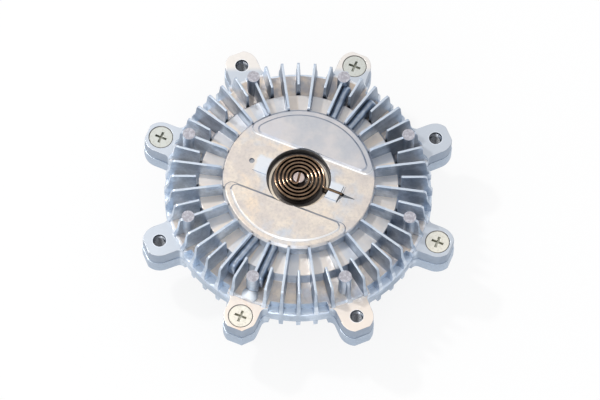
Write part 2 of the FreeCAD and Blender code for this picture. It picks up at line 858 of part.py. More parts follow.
def rear_housing():
    fins = rear_fins()
    body = new_body("rear_housing")
    boss_end = BEARING_BACK - S.boss_overhang
    rim_foot = PARTING - S.rear_rim_depth
    turned(
        body,
        "Revolution",
        "rear_casting",
        [
            (0, boss_end),
            (BEARING_BOSS, boss_end),
            (BEARING_BOSS, REAR_FACE),
            (RIM - S.rear_slope, REAR_FACE),
            (RIM, rim_foot),
            (RIM, PARTING),
            (0, PARTING),
        ],
    )
    lug_plan = new_sketch(
        body, "rear_lug_plan", "XY_Plane", lift=PARTING - S.rear_lug_depth, turn=HALF_LUG_STEP
    )
    half_width = S.lug_half_width + S.rear_lug_ledge
    lug_outline(lug_plan, half_width)
    lug = pad(body, lug_plan, "rear_lug", S.rear_lug_depth)
    around(body, [lug], "rear_lugs", 2 * S.lug_pairs)
    lug_trim(body, "rear_lug_trim", half_width, PARTING, S.rear_lug_depth + CUT_MARGIN)

    # The chamber with its ridges, then the bearing seat and its ring groove
    ridge_top = ROTOR_TOP - S.rotor_web - S.rotor_floor_gap
    ridges = ridge_steps(ROTOR_RADIUS - S.ridge_width, CHAMBER_FLOOR, ridge_top, S.ridge_gap)
    above = PARTING + CUT_MARGIN
    turned(
        body,
        "Groove",
        "rear_chamber",
        [(0, above), (S.chamber_radius, above), (S.chamber_radius, CHAMBER_FLOOR)]
        + ridges
        + [(OUTER_RING_BORE, CHAMBER_FLOOR), (OUTER_RING_BORE, BEARING_FRONT), (0, BEARING_FRONT)],
    )
    below = boss_end - CUT_MARGIN
    ring_groove = BEARING_BACK - S.snap_ring_thickness
    turned(
        body,
        "Groove",
        "bearing_seat",
        [
            (0, below),
            (S.bearing_radius, below),
            (S.bearing_radius, ring_groove),
            (S.bearing_radius + S.snap_ring_depth, ring_groove),
            (S.bearing_radius + S.snap_ring_depth, BEARING_BACK),
            (S.bearing_radius, BEARING_BACK),
            (S.bearing_radius, BEARING_FRONT),
            (0, BEARING_FRONT),
        ],
    )
    groove_outer = SEAL_GROOVE + S.seal_groove_width
    turned(
        body,
        "Groove",
        "seal_groove",
        [
            (SEAL_GROOVE, PARTING - S.seal_groove_depth),
            (groove_outer, PARTING - S.seal_groove_depth),
            (groove_outer, above),
            (SEAL_GROOVE, above),
        ],
    )
    for name, radius, turn in (
        ("rear_fan_hole", S.fan_hole_radius, HALF_LUG_STEP),
        ("rear_screw_hole", S.screw_radius + S.screw_clearance, SCREW_LUG_TURN),
    ):
        plan = new_sketch(body, name + "_plan", "XY_Plane", lift=above, turn=turn)
        circle(plan, LUG_CIRCLE, 0, radius)
        hole = pocket(body, plan, name, S.rear_lug_depth + 2 * CUT_MARGIN)
        around(body, [hole], name + "s", S.lug_pairs)
    merge(body, fins, "rear_fins_joined")
    return body


def housing_seal():
    body = new_body("housing_seal")
    outer = SEAL_GROOVE + S.seal_groove_width
    low = PARTING - S.seal_groove_depth
    section = [(SEAL_GROOVE, low), (outer, low), (outer, PARTING), (SEAL_GROOVE, PARTING)]
    turned(body, "Revolution", "seal_ring", section)
    return body


def housing_screw(index):
    """A countersunk screw with a cross recess, its head just below the fan seat."""
    body = new_body("housing_screw_%d" % (index + 1))
    head_top = SEAT - S.screw_head_sink
    cone_slope = cosine(S.countersink_angle) / sine(S.countersink_angle)
    shank_top = head_top - (S.screw_head_radius - S.screw_radius) * cone_slope
    end = head_top - S.screw_length
    turned(
        body,
        "Revolution",
        "screw",
        [
            (0, end),
            (S.screw_radius, end),
            (S.screw_radius, shank_top),
            (S.screw_head_radius, head_top),
            (0, head_top),
        ],
    )
    for name, turn in (("first", 0), ("second", 90)):
        arm = new_sketch(body, name + "_recess_plan", "XY_Plane", lift=head_top, turn=turn)
        rectangle(arm, -S.screw_recess_reach, S.screw_recess_reach, S.screw_recess_width / 2)
        pocket(body, arm, name + "_recess", S.screw_recess_depth)
    angle = SCREW_LUG_TURN + 2 * LUG_STEP * index
    stand(body, LUG_CIRCLE * cosine(angle), LUG_CIRCLE * sine(angle), 0, angle)
    return body


def partition_plate():
    body = new_body("partition_plate")
    rim = S.chamber_radius - S.plate_clearance
    turned(
        body,
        "Revolution",
        "plate",
        [(0, PLATE_BOTTOM), (rim, PLATE_BOTTOM), (rim, PLATE_TOP), (0, PLATE_TOP)],
    )
    above = PLATE_TOP + CUT_MARGIN
    port = new_sketch(body, "port_plan", "XY_Plane", lift=above)
    near = PORT_CIRCLE - S.port_half_length
    rectangle(port, near, PORT_CIRCLE + S.port_half_length, S.port_half_width)
    pocket(body, port, "port", S.plate_thickness + 2 * CUT_MARGIN)
    back = new_sketch(body, "return_plan", "XY_Plane", lift=above, turn=HALF_LUG_STEP)
    circle(back, RETURN_CIRCLE, 0, S.return_hole_radius)
    hole = pocket(body, back, "return_hole", S.plate_thickness + 2 * CUT_MARGIN)
    around(body, [hole], "return_holes", S.return_holes)
    return body


def open_ring(name, inner, outer, low):
    """A snap ring with a gap at +X."""
    body = new_body(name)
    high = low + S.snap_ring_thickness
    section = [(inner, low), (outer, low), (outer, high), (inner, high)]
    turned(body, "Revolution", name + "_ring", section)
    gap = new_sketch(body, name + "_gap_plan", "XY_Plane", lift=high + CUT_MARGIN)
    rectangle(gap, 0, outer + CUT_MARGIN, S.snap_ring_gap / 2)
    pocket(body, gap, name + "_gap", S.snap_ring_thickness + 2 * CUT_MARGIN)
    return body


def drive_shaft():
    body = new_body("drive_shaft")
    neck = S.shaft_radius + S.neck_step
    groove_radius = ROTOR_SEAT - S.snap_ring_depth
    groove_top = ROTOR_HUB_TOP + S.snap_ring_thickness
    end = groove_top + S.shaft_chamfer
    turned(
        body,
        "Revolution",
        "shaft",
        [
            (0, 0),
            (S.flange_waist_radius, 0),
            (S.flange_waist_radius, S.flange_thickness),
            (neck, S.flange_thickness),
            (neck, BEARING_BACK),
            (S.shaft_radius, BEARING_BACK),
            (S.shaft_radius, BEARING_FRONT),
            (ROTOR_SEAT, BEARING_FRONT),
            (ROTOR_SEAT, ROTOR_HUB_TOP),
            (groove_radius, ROTOR_HUB_TOP),
            (groove_radius, groove_top),
            (ROTOR_SEAT, groove_top),
            (ROTOR_SEAT - S.shaft_chamfer, end),
            (0, end),
        ],
    )
    lobe = S.flange_lobe_radius
    lobe_plan = new_sketch(body, "flange_lobe_plan", "XY_Plane", turn=HALF_LUG_STEP)
    outline(
        lobe_plan,
        [
            (0, -lobe),
            (S.flange_bolt_circle, -lobe),
            (S.flange_bolt_circle + lobe, 0, lobe),
            (S.flange_bolt_circle, lobe, lobe),
            (0, lobe),
        ],
    )
    flange_lobe = pad(body, lobe_plan, "flange_lobe", S.flange_thickness)
    hole_plan = new_sketch(
        body, "flange_hole_plan", "XY_Plane", lift=S.flange_thickness + CUT_MARGIN, turn=HALF_LUG_STEP
    )
    circle(hole_plan, S.flange_bolt_circle, 0, S.flange_hole_radius)
    around(body, [flange_lobe], "flange_lobes", S.flange_bolts)
    hole = pocket(body, hole_plan, "flange_hole", S.flange_thickness + 2 * CUT_MARGIN)
    around(body, [hole], "flange_holes", S.flange_bolts)
    pilot = new_sketch(body, "pilot_plan", "XY_Plane", lift=S.pilot_depth)
    circle(pilot, 0, 0, S.pilot_radius)
    pocket(body, pilot, "pilot", S.pilot_depth + CUT_MARGIN)
    return body


def rotor():
    """The clutch disc: a hub on the shaft, a web, and annular ridges that mesh with the rear casting's."""
    body = new_body("rotor")
    web_bottom = ROTOR_TOP - S.rotor_web
    ridge_tip = CHAMBER_FLOOR + S.rotor_floor_gap
    hub = INNER_RING + S.rotor_hub_margin
    foot = INNER_RING - S.rotor_foot_inset
    foot_top = BEARING_FRONT + S.rotor_foot_height
    ridges = ridge_steps(ROTOR_RADIUS, web_bottom, ridge_tip, 0)
    turned(
        body,
        "Revolution",
        "rotor_disc",
        [
            (ROTOR_SEAT, ROTOR_HUB_TOP),
            (ROTOR_SEAT, BEARING_FRONT),
            (foot, BEARING_FRONT),
            (foot, foot_top),
            (hub, foot_top),
            (hub, web_bottom),
        ]
        + list(reversed(ridges[1:]))
        + [
            (ROTOR_RADIUS, ROTOR_TOP),
            (hub, ROTOR_TOP),
            (hub, ROTOR_HUB_TOP),
        ],
    )
    plan = new_sketch(body, "bleed_hole_plan", "XY_Plane", lift=ROTOR_TOP + CUT_MARGIN)
    circle(plan, S.bleed_circle, 0, S.bleed_hole_radius)
    hole = pocket(body, plan, "bleed_hole", S.rotor_web + 2 * CUT_MARGIN)
    around(body, [hole], "bleed_holes_ring", S.bleed_holes)
    return body


def bearing_ring(name, inner, outer):
    body = new_body(name)
    corners = [(inner, BEARING_BACK), (outer, BEARING_BACK), (outer, BEARING_FRONT), (inner, BEARING_FRONT)]
    turned(body, "Revolution", name + "_ring", corners)
    return body


def bearing_shield(name, low):
    body = new_body(name)
    inner = INNER_RING + S.shield_clearance
    high = low + S.shield_thickness
    section = [(inner, low), (OUTER_RING_BORE, low), (OUTER_RING_BORE, high), (inner, high)]
    turned(body, "Revolution", name + "_disc", section)
    return body


def control_pin():
    """The pin that the coil turns: slotted head, seal groove, thrust collar and riveted tenon."""
    body = new_body("control_pin")
    top = BAND + S.pin_top
    seal_high = PIN_SEAL_LOW + S.pin_seal_height
    seal_radius = S.pin_radius - S.pin_seal_depth
    turned(
        body,
        "Revolution",
        "pin",
        [
            (0, ARM_BOTTOM),
            (TENON_RADIUS, ARM_BOTTOM),
            (TENON_RADIUS, ARM_TOP),
            (COLLAR_RADIUS, ARM_TOP),
            (COLLAR_RADIUS, COLLAR_TOP),
            (S.pin_radius, COLLAR_TOP),
            (S.pin_radius, PIN_SEAL_LOW),
            (seal_radius, PIN_SEAL_LOW),
            (seal_radius, seal_high),
            (S.pin_radius, seal_high),
            (S.pin_radius, top - S.pin_chamfer),
            (S.pin_radius - S.pin_chamfer, top),
            (0, top),
        ],
    )
    slot = new_sketch(body, "pin_slot_plan", "XY_Plane", lift=top + CUT_MARGIN, turn=S.pin_slot_turn)
    reach = S.pin_radius + CUT_MARGIN
    rectangle(slot, -reach, reach, S.strip_thickness / 2 + S.tongue_clearance)
    pocket(body, slot, "pin_slot", top + CUT_MARGIN - RECESS_FLOOR - S.strip_lift)
    return body


def pin_seal():
    body = new_body("pin_seal")
    low = PIN_SEAL_LOW
    high = low + S.pin_seal_height
    inner = S.pin_radius - S.pin_seal_depth
    outer = S.pin_radius + S.pin_clearance / 2
    turned(body, "Revolution", "seal", [(inner, low), (outer, low), (outer, high), (inner, high)])
    return body


def valve_arm():
    """The strip that the pin swings over the plate's port: round hub, straight arm, round end."""
    body = new_body("valve_arm")
    hub = new_sketch(body, "arm_hub_plan", "XY_Plane", lift=ARM_BOTTOM)
    circle(hub, 0, 0, COLLAR_RADIUS + S.arm_hub_margin)
    pad(body, hub, "arm_hub", S.arm_thickness)
    blade = new_sketch(body, "arm_blade_plan", "XY_Plane", lift=ARM_BOTTOM)
    rectangle(blade, 0, PORT_CIRCLE, S.arm_half_width)
    pad(body, blade, "arm_blade", S.arm_thickness)
    end = new_sketch(body, "arm_end_plan", "XY_Plane", lift=ARM_BOTTOM)
    circle(end, PORT_CIRCLE, 0, S.arm_end_radius)
    pad(body, end, "arm_end", S.arm_thickness)
    bore = new_sketch(body, "arm_bore_plan", "XY_Plane", lift=ARM_TOP + CUT_MARGIN)
    circle(bore, 0, 0, TENON_RADIUS)
    pocket(body, bore, "arm_bore", S.arm_thickness + 2 * CUT_MARGIN)
    return body


def bimetal_coil():
    """A flat spiral strip of half-turn arcs, with a tongue in the pin's slot and a tab in the slit."""
    half = S.strip_thickness.value / 2
    low = (RECESS_FLOOR + S.strip_lift).value
    high = (BAND + S.strip_top).value
    start_angle = S.pin_slot_turn.value - 180
    tab_angle = -S.disc_turn.value
    end_angle = tab_angle - 360 * S.coil_turns.value
    start_radius = S.pin_radius.value + S.coil_hub_gap.value + half
    end_room = RIB_INNER.value - S.coil_rib_gap.value - half
    pitch = (end_room - start_radius) / ((start_angle - end_angle) / 360)
    shift = pitch / 4
    upward = FreeCAD.Vector(0, 0, 1)
    start_line = FreeCAD.Rotation(upward, start_angle).multVec(FreeCAD.Vector(1, 0, 0))
    tab_line = FreeCAD.Rotation(upward, tab_angle).multVec(FreeCAD.Vector(1, 0, 0))

    # Half turns about two centres in turn, clockwise and outwards; the last one stops at the tab
    half_turns = int((start_angle - end_angle) // 180)
    inner_edges = []
    outer_edges = []
    for index in range(half_turns + 1):
        centre = start_line * (shift if index % 2 else -shift)
        radius = start_radius + shift * (1 + 2 * index)
        first = start_angle - 180 * index
        last = first - 180
        if index == half_turns:
            along = centre.dot(tab_line)
            end_radius = along + math.sqrt(radius**2 - centre.Length**2 + along**2)
            across = (tab_line * end_radius - centre).cross(tab_line).z
            last = end_angle - math.degrees(math.asin(across / radius))
        for edges, offset in ((inner_edges, -half), (outer_edges, half)):
            ring = Part.Circle(centre + upward * low, upward, radius + offset)
            edges.append(Part.ArcOfCircle(ring, math.radians(last), math.radians(first)).toShape())
    ends = [
        Part.makeLine(inner_edges[0].lastVertex().Point, outer_edges[0].lastVertex().Point),
        Part.makeLine(inner_edges[-1].firstVertex().Point, outer_edges[-1].firstVertex().Point),
    ]
    wire = Part.Wire(Part.__sortEdges__(inner_edges + outer_edges + ends))
    strip = Part.Face(wire).extrude(upward * (high - low))

    def bar(angle, near, far):
        """A straight piece of the strip from near to far along a direction."""
        block = Part.makeBox(far - near, 2 * half, high - low, FreeCAD.Vector(near, -half, low))
        block.rotate(FreeCAD.Vector(0, 0, 0), upward, angle)
        return block

    tongue = bar(start_angle, -S.pin_radius.value, start_radius + half)
    tab = bar(tab_angle, end_radius - half, (SLIT_END - S.tab_gap).value)
    coil = doc.addObject("Part::Feature", "bimetal_coil")
    coil.Label = "bimetal_coil"
    coil.Shape = strip.fuse([tongue, tab]).removeSplitter()
    coil.Placement = FreeCAD.Placement()
    return coil


def build():
    parts = [
        front_housing(),
        rear_housing(),
        housing_seal(),
        partition_plate(),
        open_ring(
            "bearing_snap_ring",
            S.bearing_radius + S.snap_ring_depth - S.snap_ring_width,
            S.bearing_radius + S.snap_ring_depth,
            BEARING_BACK - S.snap_ring_thickness,
        ),
        open_ring(
            "rotor_snap_ring",
            ROTOR_SEAT - S.snap_ring_depth,
            ROTOR_SEAT - S.snap_ring_depth + S.snap_ring_width,
            ROTOR_HUB_TOP,
        ),
        drive_shaft(),
        rotor(),
        bearing_ring("bearing_outer_ring", OUTER_RING_BORE, S.bearing_radius),
        bearing_ring("bearing_inner_ring", S.shaft_radius, INNER_RING),
        bearing_shield("bearing_rear_shield", BEARING_BACK + S.shield_inset),
        bearing_shield("bearing_front_shield", BEARING_FRONT - S.shield_inset - S.shield_thickness),
        control_pin(),
        pin_seal(),
        valve_arm(),
        bimetal_coil(),
    ]
    parts += [housing_screw(index) for index in range(int(S.lug_pairs.value))]
    return parts


def check_document():
    for item in doc.Objects:
        if "Invalid" in item.State or "Error" in item.State:
            raise RuntimeError("%s did not build: %s" % (item.Name, item.State))


def write_parts(parts):
    os.makedirs("parts", exist_ok=True)
    for part in parts:
        if part.Shape.isNull() or not part.Shape.isValid():
            raise RuntimeError("%s has no valid shape" % part.Label)
    for part in parts:
        part.Shape.exportStep("parts/%s.step" % part.Label)
        print(part.Label, len(part.Shape.Solids), round(part.Shape.Volume, 1))


all_parts = build()
doc.recompute()
check_document()
write_parts(all_parts)
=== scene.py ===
import contextlib
import json
import math

import bmesh
import bpy
from mathutils import Matrix, Vector


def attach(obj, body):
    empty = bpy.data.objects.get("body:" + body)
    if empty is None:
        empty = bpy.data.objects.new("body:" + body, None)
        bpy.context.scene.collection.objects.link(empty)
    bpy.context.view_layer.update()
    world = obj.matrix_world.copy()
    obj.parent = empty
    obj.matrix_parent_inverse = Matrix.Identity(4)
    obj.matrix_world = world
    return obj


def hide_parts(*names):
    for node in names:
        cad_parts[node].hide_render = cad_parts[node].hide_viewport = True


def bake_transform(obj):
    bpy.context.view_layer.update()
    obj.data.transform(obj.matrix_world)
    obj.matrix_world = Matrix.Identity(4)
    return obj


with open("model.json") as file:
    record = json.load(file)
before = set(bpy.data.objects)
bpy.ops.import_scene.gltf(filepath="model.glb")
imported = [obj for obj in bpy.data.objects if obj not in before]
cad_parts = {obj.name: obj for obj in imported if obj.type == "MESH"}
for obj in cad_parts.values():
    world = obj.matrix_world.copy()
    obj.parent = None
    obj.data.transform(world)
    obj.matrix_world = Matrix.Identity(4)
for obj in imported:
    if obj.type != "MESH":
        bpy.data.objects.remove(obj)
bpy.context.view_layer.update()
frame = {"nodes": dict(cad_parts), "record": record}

# The CAD nodes get procedural materials and rounded edges, and the threads, the channel ribs and a
# coil are added. Lengths are in metres and angles in degrees, unless a comment says
# otherwise.
MM = 0.001

# Heights above the flange's back face
REAR_LUG_FOOT = 27.5 * MM
PARTING = 36.0 * MM
SEAT = 45.0 * MM
TERRACE = 50.5 * MM
RECESS_FLOOR = 52.0 * MM
COIL_RIB_TOP = 53.5 * MM
BAND = 57.8 * MM
FIN_TOP = 60.3 * MM
POST_TOP = 61.3 * MM

# Radii, and distances from the turning axis
RECESS_RADIUS = 16.4 * MM
PAD_CHORD = 13.8 * MM
MARKS_REACH = 31.5 * MM
DISC_RADIUS = 38.8 * MM
TERRACE_RADIUS = 50.5 * MM
POST_CIRCLE = 60.25 * MM
POST_RADIUS = 3.2 * MM
DOME_CIRCLE = 64.2 * MM
DOME_RADIUS = 4.1 * MM
SEAT_EDGE = 67.3 * MM
LUG_CIRCLE = 76.0 * MM
HOLE_RADIUS = 3.4 * MM
SCREW_HEAD_RADIUS = 6.0 * MM

# Angles about the turning axis
LUG_ANGLES = [22.5 + 45 * index for index in range(8)]
TAPPED_ANGLES = LUG_ANGLES[::2]
SCREW_ANGLES = LUG_ANGLES[1::2]
BAY_ANGLE = 7.5
DISC_TURN = -22.5
PIN_SLOT_TURN = 76.0
DOME_ANGLE = -112.5


def polar(radius, degrees, height=0.0):
    angle = math.radians(degrees)
    return Vector((radius * math.cos(angle), radius * math.sin(angle), height))


class NodeTree:
    """The node tree of a material or a world, with one short call for each node."""

    # Sockets of the Mix node when it mixes colours
    MIX_FIRST = 6
    MIX_SECOND = 7
    MIX_RESULT = 2

    def __init__(self, owner):
        owner.use_nodes = True
        self.nodes = owner.node_tree.nodes
        self.links = owner.node_tree.links

    def put(self, socket, value):
        if isinstance(value, bpy.types.NodeSocket):
            self.links.new(value, socket)
        elif isinstance(value, tuple) and len(value) == 3 and socket.type == "RGBA":
            socket.default_value = (*value, 1.0)
        else:
            socket.default_value = value

    def add(self, kind, inputs=(), **settings):
        node = self.nodes.new("ShaderNode" + kind)
        for key, value in settings.items():
            setattr(node, key, value)
        for key, value in dict(inputs).items():
            self.put(node.inputs[key], value)
        return node

    def math(self, operation, *values):
        return self.add("Math", enumerate(values), operation=operation).outputs[0]

    def plus(self, *values):
        total = values[0]
        for value in values[1:]:
            total = self.math("ADD", total, value)
        return total

    def times(self, *values):
        product = values[0]
        for value in values[1:]:
            product = self.math("MULTIPLY", product, value)
        return product

    def inverse(self, share):
        return self.math("SUBTRACT", 1.0, share)

    def ramp(self, value, low, high):
        """0 below low, 1 above high, smooth between; falling where low is above high."""
        rising = low < high
        node = self.add(
            "MapRange",
            {
                "Value": value,
                "From Min": min(low, high),
                "From Max": max(low, high),
                "To Min": 0.0 if rising else 1.0,
                "To Max": 1.0 if rising else 0.0,
            },
            interpolation_type="SMOOTHSTEP",
        )
        return node.outputs["Result"]

    def between(self, value, low, high, soft):
        """1 between low and high, with soft edges."""
        return self.times(
            self.ramp(value, low - soft, low + soft), self.ramp(value, high + soft, high - soft)
        )

    def mix(self, factor, first, second, blend="MIX"):
        colors = {0: factor, self.MIX_FIRST: first, self.MIX_SECOND: second}
        node = self.add("Mix", colors, data_type="RGBA", blend_type=blend)
        return node.outputs[self.MIX_RESULT]

    def lay(self, color, tone, *masks):
        """The colour with a tone laid over it as far as all the masks reach."""
        return self.mix(self.times(*masks), color, tone)

    def split(self, vector):
        node = self.add("SeparateXYZ", {"Vector": vector})
        return node.outputs["X"], node.outputs["Y"], node.outputs["Z"]


class Shader(NodeTree):
    """A material whose pattern lies fixed on the object, in the frame's own metres."""

    def __init__(self, name):
        self.material = bpy.data.materials.new(name)
        super().__init__(self.material)
        self.bsdf = self.nodes["Principled BSDF"]
        place = self.add("TexCoord")
        self.normal = place.outputs["Normal"]
        self.point = place.outputs["Object"]
        self.x, self.y, self.z = self.split(self.point)

    def noise(self, scale, detail=3.0, roughness=0.55):
        inputs = {
            "Vector": self.point,
            "Scale": scale,
            "Detail": detail,
            "Roughness": roughness,
        }
        return self.add("TexNoise", inputs).outputs["Fac"]

    def turned(self, degrees):
        """The plan coordinates in a frame turned about +Z."""
        cosine = math.cos(math.radians(degrees))
        sine = math.sin(math.radians(degrees))
        along = self.plus(self.times(self.x, cosine), self.times(self.y, sine))
        across = self.plus(self.times(self.x, -sine), self.times(self.y, cosine))
        return along, across

    def distance(self, centre=(0.0, 0.0)):
        """How far the point is from a centre in plan."""
        offset_x = self.math("SUBTRACT", self.x, centre[0])
        offset_y = self.math("SUBTRACT", self.y, centre[1])
        square = self.plus(self.times(offset_x, offset_x), self.times(offset_y, offset_y))
        return self.math("SQRT", square)

    def crevice(self, reach, inside=False):
        """0 in the open and 1 deep in a corner, or on a sharp edge where inside is set."""
        node = self.add(
            "AmbientOcclusion", {"Distance": reach}, samples=8, inside=inside, only_local=inside
        )
        return self.inverse(node.outputs["AO"])

    def bump(self, height, strength, distance):
        node = self.add("Bump", {"Height": height, "Strength": strength, "Distance": distance})
        self.put(self.bsdf.inputs["Normal"], node.outputs["Normal"])

    def finish(self, color, roughness, metallic):
        self.put(self.bsdf.inputs["Base Color"], color)
        self.put(self.bsdf.inputs["Roughness"], roughness)
        self.put(self.bsdf.inputs["Metallic"], metallic)
        return self.material


class CastSkin(Shader):
    """Die-cast metal with a sandy skin, its tops painted cream and its walls slate blue as painted
    reflections of warm light from above and bluish light from low down.
    """

    # Faces that look up, cream as a painted warm reflection
    DULL_CREAM = (0.72, 0.66, 0.62)
    CREAM = (0.85, 0.77, 0.68)
    COOL_STAIN = (0.62, 0.66, 0.73)
    APRICOT_STAIN = (0.95, 0.79, 0.62)
    GREY_PITS = (0.47, 0.45, 0.45)
    DISC_DIMMING = (0.92, 0.92, 0.92)
    GREY_SOIL = (0.26, 0.25, 0.27)
    BROWN_SOIL = (0.58, 0.47, 0.38)
    WARM_PANEL = (0.84, 0.76, 0.68)
    COOL_PANEL = (0.68, 0.74, 0.82)
    FIN_EDGE = (0.58, 0.65, 0.74)
    DARK_PAD = (0.45, 0.49, 0.56)
    PALE_PAD = (0.60, 0.59, 0.62)
    BRIGHT_ANCHOR = (0.72, 0.77, 0.84)
    NEAR_LUG = (0.88, 0.80, 0.73)
    RUSTY_LUG = (0.82, 0.66, 0.54)
    SIDE_LUG = (0.57, 0.62, 0.69)
    FAR_LUG = (0.82, 0.79, 0.76)
    DARK_SPECKLE = (0.38, 0.37, 0.41)
    PALE_SPECKLE = (0.58, 0.58, 0.62)
    LEDGE = (0.70, 0.78, 0.88)

    # Walls, slate blue as a painted cool reflection
    SLATE = (0.36, 0.44, 0.55)
    PALE_BLUE = (0.74, 0.83, 0.95)
    DARK_BAY = (0.28, 0.32, 0.38)
    # Painted light on the walls towards the near left
    PAINTED_LIGHT_WALL = (0.84, 0.92, 1.0)
    NEAR_WALL = (0.34, 0.42, 0.53)
    # Painted shade on the walls at the far side
    PAINTED_SHADE_WALL = (0.24, 0.29, 0.36)
    REAR_LUG_SIDE = (0.42, 0.50, 0.61)
    FRONT_LUG_SIDE = (0.28, 0.34, 0.43)
    DARK_PITS = (0.22, 0.25, 0.30)
    SKIRT = (0.84, 0.90, 0.98)
    PAD_SHADE = (0.34, 0.38, 0.45)
    PAD_GLINT = (1.0, 0.98, 0.95)

    # Small places
    # Painted shade in the coil's recess
    RECESS_SHADE = (0.10, 0.09, 0.09)
    COIL_RIB = (0.95, 0.84, 0.70)
    SPARE_MARK = (0.32, 0.34, 0.38)
    # Painted shade in the stake marks by the tab
    STAKE_SHADE = (0.16, 0.17, 0.19)
    # Painted shade in corners and seams
    SEAM_SHADE = (0.10, 0.10, 0.11)
    # Painted highlight on the edges, which are also rubbed bright
    RUBBED_HIGHLIGHT = (0.88, 0.93, 1.0)
    # Painted shade in the gap round each screw head
    SCREW_RING = (0.12, 0.11, 0.10)
    BRIGHT_DOME = (0.92, 0.96, 1.0)

    def __init__(self):
        super().__init__("cast_aluminium_skin")
        self.radius = self.distance()
        self.along, self.across = self.turned(DISC_TURN)
        _, self.facing_y, self.facing_z = self.split(self.normal)

        self.patches = self.noise(scale=38.0, detail=4.0, roughness=0.6)
        self.clouds = self.noise(scale=110.0, detail=4.0)
        self.fine = self.noise(scale=700.0, detail=4.0, roughness=0.7)
        stains = self.noise(scale=62.0, detail=4.0, roughness=0.6)
        self.apricot = self.ramp(stains, 0.54, 0.72)
        self.mottle = self.ramp(self.clouds, 0.35, 0.65)
        self.pits = self.ramp(self.fine, 0.6, 0.3)
        angle = self.math("ARCTAN2", self.y, self.x)
        bay = self.math("FLOOR", self.math("DIVIDE", angle, math.radians(BAY_ANGLE)))
        bay_noise = self.add("TexWhiteNoise", {"W": bay}, noise_dimensions="1D")
        self.bay_shade = bay_noise.outputs["Value"]

        self.near = self.ramp(self.y, -33.0 * MM, -48.0 * MM)
        self.disc = self.ramp(self.radius, DISC_RADIUS + 0.8 * MM, DISC_RADIUS + 0.2 * MM)
        self.lug_face = self.times(
            self.ramp(self.radius, SEAT_EDGE - 0.2 * MM, SEAT_EDGE + 0.2 * MM),
            self.between(self.z, SEAT - 0.1 * MM, SEAT + 0.1 * MM, 0.1 * MM),
        )
        self.post_top = self.times(
            self.ramp(self.z, POST_TOP - 0.5 * MM, POST_TOP - 0.2 * MM),
            self.between(self.radius, POST_CIRCLE - 4.25 * MM, POST_CIRCLE + 4.25 * MM, 0.3 * MM),
        )
        self.dome = self.times(
            self.ramp(
                self.distance(polar(DOME_CIRCLE, DOME_ANGLE)), DOME_RADIUS + 0.3 * MM, DOME_RADIUS
            ),
            self.between(self.z, SEAT + 1.1 * MM, SEAT + 5.2 * MM, 0.2 * MM),
            self.ramp(
                self.distance(polar(POST_CIRCLE, DOME_ANGLE)),
                POST_RADIUS + 0.1 * MM,
                POST_RADIUS + 0.3 * MM,
            ),
        )
        self.ridge = self.ramp(self.crevice(0.5 * MM, inside=True), 0.25, 0.6)

    def tops(self):
        """Faces that look up: cream as a painted warm reflection, with orange and cool stains,
        dimmer on the disc.
        """
        color = self.mix(self.mottle, self.DULL_CREAM, self.CREAM)
        color = self.lay(color, self.COOL_STAIN, self.ramp(self.patches, 0.52, 0.66))
        color = self.lay(color, self.APRICOT_STAIN, self.apricot, 0.75)
        color = self.lay(color, self.GREY_PITS, self.pits, 0.35)
        color = self.lay(color, self.mix(1.0, color, self.DISC_DIMMING, "MULTIPLY"), self.disc)
        color = self.between_fins(color)
        color = self.disc_tops(color)
        color = self.lugs_and_posts(color)
        ledge = self.ramp(self.z, SEAT - 0.8 * MM, SEAT - 1.2 * MM)
        return self.lay(color, self.LEDGE, ledge)

    def between_fins(self, color):
        """A dirty floor, a terrace with a tone of its own in each bay, and pale fin tops."""
        floor = self.times(
            self.ramp(self.z, TERRACE + 1.3 * MM, TERRACE - 0.5 * MM),
            self.ramp(self.radius, SEAT_EDGE + 0.2 * MM, SEAT_EDGE - 0.8 * MM),
        )
        dirt = self.plus(0.25, self.times(self.bay_shade, 0.35), self.times(self.patches, 0.25))
        dirt = self.times(dirt, self.inverse(self.times(self.near, 0.45)))
        soil = self.mix(self.ramp(self.clouds, 0.4, 0.6), self.GREY_SOIL, self.BROWN_SOIL)
        color = self.lay(color, soil, floor, dirt)
        terrace = self.between(self.radius, DISC_RADIUS, TERRACE_RADIUS, 0.6 * MM)
        panel = self.mix(self.bay_shade, self.WARM_PANEL, self.COOL_PANEL)
        color = self.lay(color, panel, terrace, 0.7)
        fin_top = self.times(
            self.ramp(self.z, FIN_TOP - 1.1 * MM, FIN_TOP - 0.5 * MM),
            self.between(self.radius, DISC_RADIUS + 0.4 * MM, SEAT_EDGE - 1.3 * MM, 0.3 * MM),
        )
        return self.lay(color, self.FIN_EDGE, fin_top)

    def disc_tops(self, color):
        """A greyer upper pad, and bright bluish metal with a ragged edge round the anchors."""
        upper_pad = self.times(
            self.ramp(self.across, PAD_CHORD + 0.2 * MM, PAD_CHORD + 2.7 * MM),
            self.ramp(self.radius, DISC_RADIUS + 0.4 * MM, DISC_RADIUS - 0.2 * MM),
        )
        pad_tone = self.mix(self.ramp(self.patches, 0.4, 0.6), self.DARK_PAD, self.PALE_PAD)
        color = self.lay(color, pad_tone, upper_pad, 0.75)
        ragged = self.times(self.math("SUBTRACT", self.clouds, 0.5), 4.5 * MM)
        reach = self.math("ABSOLUTE", self.plus(self.along, ragged))
        width = self.math("ABSOLUTE", self.plus(self.across, ragged))
        anchors = self.times(
            self.between(reach, 15.5 * MM, 22.8 * MM, 0.9 * MM),
            self.ramp(width, 6.2 * MM, 4.0 * MM),
            self.ramp(self.z, BAND - 0.6 * MM, BAND - 0.4 * MM),
        )
        return self.lay(color, self.BRIGHT_ANCHOR, anchors, 0.85)

